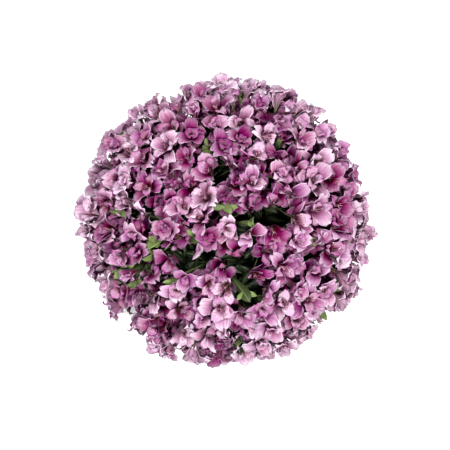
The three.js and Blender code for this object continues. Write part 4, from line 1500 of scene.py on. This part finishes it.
def leaf_blade(name, grid, widths):
    """A flat blade from root to tip along X. Its Z is in shares of its width."""
    rows, columns = grid
    shares, halves = zip(*widths)
    stations = [(row / rows, 0, float(np.interp(row / rows, shares, halves))) for row in range(rows + 1)]
    blade, along, side = blade_through(name, columns, stations)
    co = points_of(blade)
    ripple = LEAF_RIPPLE * side * np.sin(RIPPLES * along + RIPPLE_SLANT * side)
    co[:, 2] = LEAF_FOLD * np.abs(co[:, 1]) + ripple
    move_points(blade, co)
    thicken(blade, LEAF_THICKNESS, LEAF_FINISH)
    return blade


lance_blade = leaf_blade("lance blade", FINE_LEAF, LANCE)
shaded_blade = leaf_blade("shaded blade", PLAIN_LEAF, LANCE)
stalked_blade = leaf_blade("stalked blade", FINE_LEAF, STALKED)
print("a leaf has", len(lance_blade.data.polygons), "faces in the light")
print("and", len(shaded_blade.data.polygons), "in the shade")

# %% [markdown]
# ## Copies in their places
#
# A copy gets a mesh of its own, its points are carried to where it grows, and it remembers its tone.
# Blooms press against each other, so a tepal that would reach into a neighbour's room is pulled back
# towards its own bloom's axis. Some overlap is left, because real tepals slide over each other, most
# of all within one umbel.

# %% Copying
LEAST_LEAN = 1e-9  # keeps the pull finite for a point right above or below its axis


def copy_of(master, co, tone):
    """A copy with its own mesh, with its points at co and its tone written on them."""
    piece = master.copy()
    piece.data = master.data.copy()
    bpy.context.scene.collection.objects.link(piece)
    move_points(piece, co)
    marks = piece.data.attributes.new("tone", "FLOAT", "POINT")
    marks.data.foreach_set("value", np.full(len(co), tone, np.float32))
    return piece


def kept_in_room(co, place, overlap):
    """Pulls points that pass a wall towards the axis of their own place."""
    heights = (co - place.base) @ place.axis
    on_axis = place.base + heights[:, None] * place.axis
    over = co @ place.walls.T - (place.offsets + overlap)
    lean = (co - on_axis) @ place.walls.T
    lean[np.abs(lean) < LEAST_LEAN] = LEAST_LEAN
    pull = np.where(over > 0, over / lean, 0).max(axis=1)
    return co + (on_axis - co) * np.clip(pull, 0, 1)[:, None]


def turned_open(co, angle):
    """Tips a tepal outwards about its root, in its own frame: out, sideways, up."""
    c, s = math.cos(angle), math.sin(angle)
    out, rise = co[:, 0].copy(), co[:, 2].copy()
    turned = co.copy()
    turned[:, 0] = out * c + rise * s
    turned[:, 2] = rise * c - out * s
    return turned


def in_place(co, place, angle, size):
    """From a tepal's own frame to the bouquet's."""
    outward = around(place.axis, angle)
    sideways = np.cross(place.axis, outward)
    return place.base + size * (co @ np.array([outward, sideways, place.axis]))


# %% [markdown]
# Alstroemeria pales as it ages, and it ages unevenly. So the tone of a bloom is drawn: most are
# mauve, and one in five is paler. The rim is painted paler as well, partly as fading and partly as
# painted light, and two sides of it are palest. The deeper rows are painted dark, as painted shade,
# because the petals above them take their light.

# %% How a bloom fades, and its painted light and shade
DRAWN_TONE = 0.7
OLD_SHARE, OLD_TONE = 0.2, 0.5  # how many blooms are older, and how much paler they are
OUTWARD_TONE = 0.03
# painted light: the rim is painted paler all round
RIM_TONE = 0.28
# partly fading and partly painted light: two sides of the rim are painted palest
FADED_AND_LIT_SIDES = [(-40, 0.55), (165, 0.4)]  # where the rim is palest, in degrees, and by how much
PALEST = 0.84
SIDE_PALEST = 0.35
# painted shade: the tepals of the deeper rows are painted darker, less so at the rim
DEEP_TONE, DEEP_RIM_TONE, DEEP_SHADE = 0.25, 0.6, 0.1


def fading_and_painted_light(bloom, draw):
    """The tone of a bloom, with its painted light and shade. High powers of the level leave all but the rim
    as it is.
    """
    level = math.hypot(bloom.at[0], bloom.at[1]) / DOME_RADIUS
    azimuth = math.atan2(bloom.at[1], bloom.at[0])
    sided = sum(much * max(math.cos(azimuth - math.radians(side)), 0) ** 2 for side, much in FADED_AND_LIT_SIDES)
    rim = level**8
    tone = DRAWN_TONE * draw() + level**4 * (OUTWARD_TONE + sided) + RIM_TONE * rim
    if draw() < OLD_SHARE:
        tone += OLD_TONE
    # painted shade on the deeper rows
    if bloom.walls is None:
        return tone * (DEEP_TONE + DEEP_RIM_TONE * rim) - DEEP_SHADE
    return min(tone, PALEST + SIDE_PALEST * level**4 * sided)


# %% [markdown]
# No two tepals are alike either. Each copy is stretched a little, gets shallow folds, because thin
# petals are never quite smooth, and rolls to one side. All of it grows towards the tip, so the roots
# still meet in the throat.

# %% How a tepal varies
TEPAL_STRETCH = (0.05, 0.1, 0.05)  # out, sideways and up
TEPAL_ROLL = 0.55
FULL_ROLL_AT = 30 * MM  # above this height a tepal is rolled in full
CRUMPLE = 1.5 * MM
CRUMPLE_LENGTH = 12 * MM
CRUMPLE_SHIFT = 6  # radians
CRUMPLE_OUT = 0.6
FULL_CRUMPLE_AT = 25 * MM


def crumpled(co, draw):
    """Shallow folds that cross each other."""
    wave = 2 * math.pi / CRUMPLE_LENGTH
    across = np.sin(co[:, 0] * wave + CRUMPLE_SHIFT * draw())
    lengthways = np.sin(co[:, 1] * wave + CRUMPLE_SHIFT * draw())
    depth = CRUMPLE * np.clip(co[:, 2] / FULL_CRUMPLE_AT, 0, 1) * across * lengthways
    return co + np.stack([depth * CRUMPLE_OUT, np.zeros(len(co)), depth], axis=1)


def varied(master, draw):
    """The points of one copy of a tepal, in the tepal's own frame."""
    stretch = [1 + spread(draw, most) for most in TEPAL_STRETCH]
    co = crumpled(points_of(master) * stretch, draw)
    co[:, 2] += co[:, 1] * spread(draw, TEPAL_ROLL) * np.clip(co[:, 2] / FULL_ROLL_AT, 0, 1)
    return co


# %% [markdown]
# A bloom is dressed from outside in: three outer tepals, three inner ones between them that open less,
# and the heart. How far it opens is drawn, and those at the rim are more often half shut. An open
# bloom is an older one, so it is also a little paler.

# %% Dressing a bloom
BLOOM_NOD = 0.46
WIDEST_OPEN = 0.14  # radians by which the tepals of the most open bloom are tipped out
HALF_OPEN = 0.6  # and by how much less those of the most shut one are
OPENING_POWER = 1.8  # a high power makes shut blooms rare
RIM_OPENING_POWER = 1.3  # and it is lower by this at the rim, where they are common
OPEN_TONE = 0.6
OPEN_SIZES = (0.94, 0.28)
INNER_TURN = math.pi / 3
INNER_OPENING = 0.6  # how far the inner tepals follow when the bloom opens
INNER_SHUT = 0.12
YOUNG_SHUT = 0.62
YOUNG_TONE = 1.05
TIP_DRIFT = 0.22
TURN_DRIFT = 0.15
TEPAL_TONE = 0.19
WHITEST = 0.9  # the tone of no tepal goes above this


def dress_bloom(bloom, draw, young=False):
    """Three outer and three inner tepals round their stamens. A young bloom is a pale funnel."""
    tone = YOUNG_TONE if young else fading_and_painted_light(bloom, draw)
    rimward = min(math.hypot(*bloom.at[:2]) / DOME_RADIUS, 1) ** RIM_POWER
    shut = YOUNG_SHUT if young else draw() ** (OPENING_POWER - RIM_OPENING_POWER * rimward)
    openness = WIDEST_OPEN - HALF_OPEN * shut
    tone += openness * OPEN_TONE
    size = bloom.size * between(draw, *OPEN_SIZES)
    nod = [spread(draw, BLOOM_NOD) for _ in range(3)]
    facing = SimpleNamespace(base=bloom.base, axis=unit(bloom.axis + nod))
    in_view = bloom.walls is not None
    outer, inner = fine_tepals if in_view else plain_tepals
    rows = [(outer, 0, openness), (inner, INNER_TURN, openness * INNER_OPENING - INNER_SHUT)]
    parts = []
    for k in range(3):
        for kinds, turn, tipped in rows:
            master = kinds[int(draw() * len(kinds))]
            co = turned_open(varied(master, draw), tipped + spread(draw, TIP_DRIFT))
            angle = bloom.turn + turn + 2 * math.pi * k / 3 + spread(draw, TURN_DRIFT)
            co = in_place(co, facing, angle, size)
            if in_view:
                co = kept_in_room(co, bloom, bloom.overlaps)
            parts.append(copy_of(master, co, min(tone + spread(draw, TEPAL_TONE), WHITEST)))
    if in_view:
        parts.append(copy_of(heart, in_place(points_of(heart), facing, bloom.turn, size), tone))
    return parts


# %% [markdown]
# ## Pedicels, heads and stems
#
# They are round and tapering, so a curve with a bevel is the quickest tool: its points are the line,
# and each point's radius the thickness there. The curve becomes a mesh before anything is cut.
# A pedicel leaves the head along the stem and bends to meet its bloom, where it swells into the
# ovary. The stem's foot is cut level, as a florist cuts it, with one bisect that closes the cut.

# %% Tubes
def tubes(name, lines, sides, material):
    """Round tubes in one mesh. A line is a list of (place, radius)."""
    curve = bpy.data.curves.new(name, "CURVE")
    curve.dimensions = "3D"
    curve.bevel_depth = 1
    curve.bevel_resolution = sides // 2 - 2
    curve.use_fill_caps = True
    for line in lines:
        spline = curve.splines.new("POLY")
        spline.points.add(len(line) - 1)
        for point, (place, radius) in zip(spline.points, line):
            point.co = (*place, 1)
            point.radius = radius
    tube = bpy.data.objects.new(name, curve)
    bpy.context.scene.collection.objects.link(tube)
    bpy.ops.object.select_all(action="DESELECT")
    tube.select_set(True)
    bpy.context.view_layer.objects.active = tube
    bpy.ops.object.convert(target="MESH")
    tube = bpy.context.object
    tube.data.materials.append(material)
    tube.data.shade_smooth()
    return tube


# %% [markdown]
# A pedicel is thin all the way and swells into the ovary right under its bloom. The head of the umbel
# is the thickest place. Both are lists of stations: how far along, and the radius there.

# %% Pedicels and heads
PEDICEL_SIDES = 6
PEDICEL_BEND = 0.3  # how far its curve keeps to the stem's direction, and to the bloom's
PEDICEL_STATIONS = [
    (0.0, 1.3), (0.15, 1.1), (0.35, 1.05), (0.55, 1.05), (0.75, 1.15), (0.86, 1.5), (0.93, 2.6), (1.0, 2.9),
]
OVARY_TOP = [(1.6, 2.3), (3.2, 1.2)]  # above the bloom's base, in millimetres, with the radius there
HEAD_STATIONS = [(0.0, 2.8), (3.0, 3.4), (6.5, 4.4), (8.5, 4.3), (9.6, 2.2)]


def pedicel(root, place, axis, umbel):
    """The line of a pedicel, up to the top of the ovary."""
    reach = np.linalg.norm(place - root)
    corners = [root, root + umbel.axis * reach * PEDICEL_BEND, place - axis * reach * PEDICEL_BEND, place]
    line = [(bezier(corners, t), radius * MM) for t, radius in PEDICEL_STATIONS]
    return line + [(place + axis * rise * MM, radius * MM) for rise, radius in OVARY_TOP]


def head_line(umbel):
    """The swollen end of the stem, from which the pedicels grow."""
    return [(umbel.neck + umbel.axis * rise * MM, radius * MM) for rise, radius in HEAD_STATIONS]


# %% [markdown]
# A stem is one tube along its line. It starts a little below the floor, and a bisect at floor level
# cuts it and closes the cut, so that the slanted stem stands flat.

# %% Stems
STEM_STEPS = 26
STEM_SIDES = 10
STEM_ROUND = 2.7 * MM
STEM_AT_FOOT, STEM_TAPER = 1.04, 0.06  # shares of that radius
FOOT_OVER = 12 * MM  # the tube starts this far below the floor, and is then cut level with it


def stem_tube(umbel):
    """One round stem, with its level cut."""
    line = umbel.line
    down = line.direction(0)
    stations = [(line.at(0) - down * FOOT_OVER, STEM_ROUND * STEM_AT_FOOT)]
    for i in range(STEM_STEPS + 1):
        t = i / STEM_STEPS
        stations.append((line.at(t), STEM_ROUND * (STEM_AT_FOOT - STEM_TAPER * t)))
    tube = tubes("stem", [stations], STEM_SIDES, STEM_FINISH)
    bpy.ops.object.mode_set(mode="EDIT")
    bpy.ops.mesh.select_all(action="SELECT")
    bpy.ops.mesh.bisect(plane_co=(0, 0, 0), plane_no=(0, 0, 1), clear_inner=True, use_fill=True)
    bpy.ops.object.mode_set(mode="OBJECT")
    return tube


# %% [markdown]
# A leaf's tone is painted light and shade: it says how much light the leaf gets. Leaves between the
# blooms are painted green and lit, apart from some that stay under the petals, and the foliage inside
# the bouquet is painted dark, as shade, up to near the rim. A leaf that lies between blooms is squeezed
# by them at their height, in the same way as a tepal.

# %% Bending leaves
INSIDE = 0.6  # how far out the inside of the bouquet reaches, as a share of the dome's radius
# painted light and shade: lit leaves are painted green, shaded ones near black, and the inside dark up to
# near the rim
LIT_TONE, LIT_SPREAD = 0.5, 0.45
SHADED_TONE = 0.05
INSIDE_SPREAD, OUTSIDE_TONE = 0.22, 0.5
SHADED_PEEKS = [(37, -129), (21, -228), (-61, -24), (54, 102), (103, 163), (-191, 171), (222, 94)]
PEEK_NEAR = 6 * MM
LEAF_TWIST = 0.35  # radians from root to tip
LEAF_TILT = 0.2
SQUEEZED_FROM, SQUEEZED_TO = -40 * MM, 2 * MM  # heights above the leaf's place on the dome
LEAF_OVERLAP = 2.5 * MM


def peeks_from_shade(leaf):
    """Some of the leaves that come up between the blooms stay under them, and are painted dark as shade."""
    if not leaf.place:
        return False
    return any(np.linalg.norm(leaf.place.at[:2] - np.array(spot) * MM) < PEEK_NEAR for spot in SHADED_PEEKS)


def leaf_painted_light(leaf, draw):
    """Painted light and shade: lit leaves are green, and those inside the bouquet are painted dark, up to
    near its rim.
    """
    if leaf.lit:
        return (SHADED_TONE if peeks_from_shade(leaf) else LIT_TONE) + LIT_SPREAD * draw()
    outside = (np.linalg.norm(leaf.tip[:2]) / DOME_RADIUS - INSIDE) / (1 - INSIDE)
    return INSIDE_SPREAD * draw() + OUTSIDE_TONE * float(np.clip(outside, 0, 1))


def bent_leaf(leaf, draw):
    """A copy of a flat blade, bent along the leaf's midline."""
    master = shaded_blade if leaf.shaded else lance_blade
    if leaf.stalked:
        master = stalked_blade
    flat = points_of(master)
    t = np.clip(flat[:, 0], 0, 1)[:, None]
    first = leaf.root + (leaf.knee - leaf.root) * t
    second = leaf.knee + (leaf.tip - leaf.knee) * t
    midline = first + (second - first) * t
    forward = second - first
    forward /= np.linalg.norm(forward, axis=1, keepdims=True)
    twist = spread(draw, LEAF_TWIST) * t + spread(draw, LEAF_TILT)
    upward = np.cross(leaf.side, forward)
    side = leaf.side * np.cos(twist) + upward * np.sin(twist)
    lift = upward * np.cos(twist) - leaf.side * np.sin(twist)
    co = midline - side * flat[:, 1:2] * leaf.width + lift * flat[:, 2:] * leaf.width
    if leaf.place:
        height = (co - leaf.place.at) @ leaf.place.normal
        squeezed = (height > SQUEEZED_FROM) & (height < SQUEEZED_TO)
        co = np.where(squeezed[:, None], kept_in_room(co, leaf.place, LEAF_OVERLAP), co)
    return copy_of(master, co, leaf_painted_light(leaf, draw))


# %% [markdown]
# ## Buds
#
# Between the open blooms of an umbel stand some that haven't opened yet: one inside the bouquet, and
# seven in each umbel at the rim, where they show from the side. They sit halfway between two
# neighbours, and those at the rim stand further out and are riper.

# %% Dressing a bud
BUD_RANGE = 10 * MM  # from the lowest bud to the highest
BUD_LOW = 0.2  # the share of it that lies below the bases of its neighbours
BUD_UPRIGHT = 0.5
BUD_SIZES = (0.85, 0.3)
BUD_TONE = 0.5
RIPE = 0.25  # how much larger the buds at the rim are
RIPE_TONE = 2  # times as much as they are larger, they are paler
RIM_BLOOMS = 4
RIM_REACH = 20 * MM
RIM_STRAY = 16 * MM
RIM_LEAN = 0.4


def bud_seat(umbel, at_rim, draw):
    """Halfway between two outer blooms of one umbel, and further out at the rim."""
    outer = umbel.blooms[1:]
    if at_rim:
        outer = sorted(outer, key=lambda bloom: bloom.at[2])[:RIM_BLOOMS]
    i = int(draw() * len(outer))
    one = outer[i]
    two = min((b for b in outer if b is not one), key=lambda b: np.linalg.norm(b.base - one.base))
    axis = unit(one.axis + two.axis + umbel.axis * BUD_UPRIGHT)
    base = (one.base + two.base) / 2 + axis * (BUD_RANGE * (draw() - BUD_LOW))
    if at_rim:
        aside = around(axis, draw() * 2 * math.pi)
        base = base + axis * RIM_REACH * draw() + aside * RIM_STRAY
        axis = unit(axis + aside * RIM_LEAN)
    return SimpleNamespace(base=base, axis=axis)


def dress_bud(seat, at_rim, draw):
    """Three scales round each other. The buds at the rim are the ripest, so they are larger and paler."""
    ripe = RIPE if at_rim else 0
    size = BUD_SIZES[0] + ripe + BUD_SIZES[1] * draw()
    parts = []
    for k in range(3):
        co = in_place(points_of(bud), seat, 2 * math.pi * k / 3, size)
        parts.append(copy_of(bud, co, ripe * RIPE_TONE + BUD_TONE * draw()))
    return parts


# %% [markdown]
# ## Young blooms at the rim
#
# Here and there a young bloom, still a pale funnel with dark points, stands out past the rim and is
# seen from its side. It is dressed like any other bloom. Only its place is given, by where its mouth
# comes, and it grows from the umbel that is nearest.

# %% Funnels
FUNNEL_LENGTH = 40 * MM
FUNNEL_SINK = 2 * MM  # its base lies this far under the dome
FUNNEL_LIFT = 0.3
FUNNEL_TURN = 0.9  # each is turned this much further than the one before, in radians

# Where the mouth of each funnel comes, seen from above: x and y in millimetres.
FUNNELS = [
    (-46, 272), (-11, 282), (19, 268), (48, 276), (70, 283), (117, 259), (157, 238), (188, 224),
    (264, 6), (273, -42), (241, -79), (256, -128), (241, -159), (120, -256), (-66, -269),
    (-142, -250), (-234, -136),
]


def funnels_of(umbel):
    """The young blooms for which this umbel is the nearest."""
    found = []
    for tip in np.array(FUNNELS) * MM:
        nearest = min(umbels, key=lambda other: np.linalg.norm(other.head[:2] - tip))
        if nearest is not umbel:
            continue
        reach = np.linalg.norm(tip)
        outward = np.array([*tip / reach, 0.0])
        spot = tip * (1 - FUNNEL_LENGTH / reach)
        base = np.array([*spot, float(dome_height(spot)) - FUNNEL_SINK])
        axis = unit(outward + UP * FUNNEL_LIFT)
        turn = FUNNEL_TURN * len(found)
        found.append(SimpleNamespace(at=base, base=base, axis=axis, turn=turn, size=1.0, walls=None))
    return found


# %% [markdown]
# ## Growing the umbels and the stems
#
# Everything of one umbel is joined into one piece, which stands for the frame's umbel. A piece rides
# on the body of the bouquet.

# %% Umbels
BUDS = 1
BUDS_AT_RIM = 7
BUD_PEDICEL = 0.7  # how thick a bud's pedicel is, where a bloom's is 1
flower_draw = seeded_draws(71)
funnel_draw = seeded_draws(97)


def grow_umbel(umbel):
    """The blooms, the young blooms and the buds of an umbel, with their pedicels, in one piece."""
    parts = []
    lines = [head_line(umbel)]
    for bloom in umbel.blooms + [deeper for deeper in second_row + third_row if deeper.umbel is umbel]:
        parts += dress_bloom(bloom, flower_draw)
        lines.append(pedicel(pedicel_root(bloom), bloom.base, bloom.axis, umbel))
    for young in funnels_of(umbel):
        parts += dress_bloom(young, funnel_draw, young=True)
        lines.append(pedicel(umbel.head, young.base, young.axis, umbel))
    at_rim = umbel.ring is RINGS[-1]
    for _ in range(BUDS_AT_RIM if at_rim else BUDS):
        seat = bud_seat(umbel, at_rim, flower_draw)
        parts += dress_bud(seat, at_rim, flower_draw)
        line = pedicel(umbel.head, seat.base, seat.axis, umbel)
        lines.append([(place, radius * BUD_PEDICEL) for place, radius in line])
    parts.append(tubes("pedicels", lines, PEDICEL_SIDES, PEDICEL_FINISH))
    return joined(f"blooms_{umbel.number:02d}", parts)


for umbel in umbels:
    flowers = grow_umbel(umbel)
    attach(flowers, "root")
    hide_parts(f"umbel_{umbel.number:02d}")
print("the last umbel has", len(flowers.data.polygons), "faces")

# %% [markdown]
# Each stem and its leaves are joined in the same way. They are a piece of their own, because petals
# and foliage have different finishes.

# %% Leafy stems
foliage_draw = seeded_draws(83)
for umbel in umbels:
    grown = [stem_tube(umbel)] + [bent_leaf(leaf, foliage_draw) for leaf in umbel.leaves]
    green = joined(f"leafy_stem_{umbel.number:02d}", grown)
    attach(green, "root")
    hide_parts(f"stem_{umbel.number:02d}")
print("the last stem has", len(green.data.polygons), "faces")

# %% [markdown]
# ## Twine
#
# Jute twine is two plies laid round each other. Each ply is a thin tube that winds round the line of
# the twine while that line winds round the stems, so the twist is real and shows in the outline.

# %% Turns of twine
TWINE_RADIUS = 1.5 * MM
TWINE_SIDES = 6
TWINE_TURNS = 3.3
TWINE_STEPS = 66  # for each turn
TURN_PITCH = 2.9 * MM  # from one turn up to the next
PLY_TWISTS = 21  # for each turn
PLY_RADIUS, PLY_OFFSET = 0.56, 0.5  # shares of the radius of the twine
PLAIN_TWINE = 3.2 * MM  # how thick the frame's plain twine is


def twine_lines(centre):
    """The two plies, wound round each other and round the stems."""
    lines = [[], []]
    for i in range(int(TWINE_TURNS * TWINE_STEPS) + 1):
        turn = i / TWINE_STEPS
        angle = 2 * math.pi * turn
        outward = np.array([math.cos(angle), math.sin(angle), 0])
        spot = outward * centre + UP * (WAIST_HEIGHT + (turn - TWINE_TURNS / 2) * TURN_PITCH)
        for ply, line in enumerate(lines):
            twist = 2 * math.pi * turn * PLY_TWISTS + math.pi * ply
            wound = outward * math.cos(twist) + UP * math.sin(twist)
            line.append((spot + wound * TWINE_RADIUS * PLY_OFFSET, TWINE_RADIUS * PLY_RADIUS))
    return lines


tie_low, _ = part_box("tie")
twine_centre = -tie_low[1] - PLAIN_TWINE + TWINE_RADIUS
print("the twine lies", round(twine_centre / MM, 1), "mm from the axis")

# %% [markdown]
# The knot is two loops over the turns that lean across each other, and each has a short cut end that
# hangs from it. An end is a little thicker at its tip, where the cut jute frays.

# %% Knot
KNOT_STEPS = 12
KNOT_LOOP = SimpleNamespace(out=1.2 * MM, aside=1.6 * MM, wide=3.2 * MM, high=3.4 * MM)
KNOT_THICKNESS, FRAYED = 0.8, 0.25  # shares of the radius of the twine
END_STARTS = (0.4, 2, 0)  # out, aside and down, in millimetres
END_REACHES = (2, 5, 15)
END_SHARES = (0, 0.25, 0.5, 0.75, 1)


def knot_loop(seat, lean):
    """A closed loop over the turns, which leans to one side."""
    line = []
    for i in range(KNOT_STEPS + 1):
        angle = 2 * math.pi * i / KNOT_STEPS
        place = np.array([
            seat + KNOT_LOOP.out * math.cos(angle),
            lean * KNOT_LOOP.aside + KNOT_LOOP.wide * math.sin(angle),
            WAIST_HEIGHT + KNOT_LOOP.high * math.cos(angle) * lean,
        ])
        line.append((place, TWINE_RADIUS * KNOT_THICKNESS))
    return line


def cut_end(seat, lean):
    """A short end that hangs out of the knot."""
    line = []
    for share in END_SHARES:
        out, aside, down = (a + b * share for a, b in zip(END_STARTS, END_REACHES))
        place = np.array([seat + out * MM, lean * aside * MM, WAIST_HEIGHT - down * MM])
        line.append((place, TWINE_RADIUS * (KNOT_THICKNESS + FRAYED * (share == 1))))
    return line


knot_seat = twine_centre + 2 * TWINE_RADIUS
knot = [draw_part(knot_seat, lean) for lean in (-1, 1) for draw_part in (knot_loop, cut_end)]
twine = tubes("twine", twine_lines(twine_centre) + knot, TWINE_SIDES, TWINE_FINISH)
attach(twine, "root")
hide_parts("tie")
print("the twine has", len(twine.data.polygons), "faces")

# %% [markdown]
# ## The floor's finish
#
# The floor is a plain pale studio surface with the faintest grain. A real one curves up far behind the
# subject and is lit there. This one is flat, so it glows the more the further it is, and from the side
# it runs into the pale walls with no grey line between them.

# %% Floor's finish
FLOOR_GRAIN = 6
FLOOR_PALES = [(0.3, (0.93, 0.93, 0.93)), (0.7, (0.95, 0.95, 0.95))]
GLOW_FROM, GLOW_TO = 0.9, 4  # metres from the middle
GLOW_NEAR, GLOW_MORE = 0.2, 0.8


def pale_floor():
    """A pale matt finish that glows with its distance from the middle."""
    recipe = Recipe("pale floor", {"Roughness": 0.9, "Emission Color": (1, 1, 1, 1)})
    grain = recipe.object_noise(FLOOR_GRAIN)
    far = recipe.add("ShaderNodeVectorMath", {0: recipe.object_place()}, out=1, operation="LENGTH")
    glow = recipe.math("MULTIPLY", recipe.step(far, GLOW_FROM, GLOW_TO), GLOW_MORE)
    strength = recipe.math("ADD", glow, GLOW_NEAR)
    recipe.tree.links.new(strength, recipe.shader.inputs["Emission Strength"])
    return recipe.finish(recipe.ramp(grain, FLOOR_PALES))


floor.data.materials.append(pale_floor())
print("the floor glows from", GLOW_FROM, "m on")

# %% [markdown]
# ## Clearing up
#
# The blades that were only there to be copied are removed, so that nothing is left over beside the
# bouquet.

# %% Clearing up
for master in sum(fine_tepals + plain_tepals, [bud, heart, lance_blade, shaded_blade, stalked_blade]):
    bpy.data.objects.remove(master)
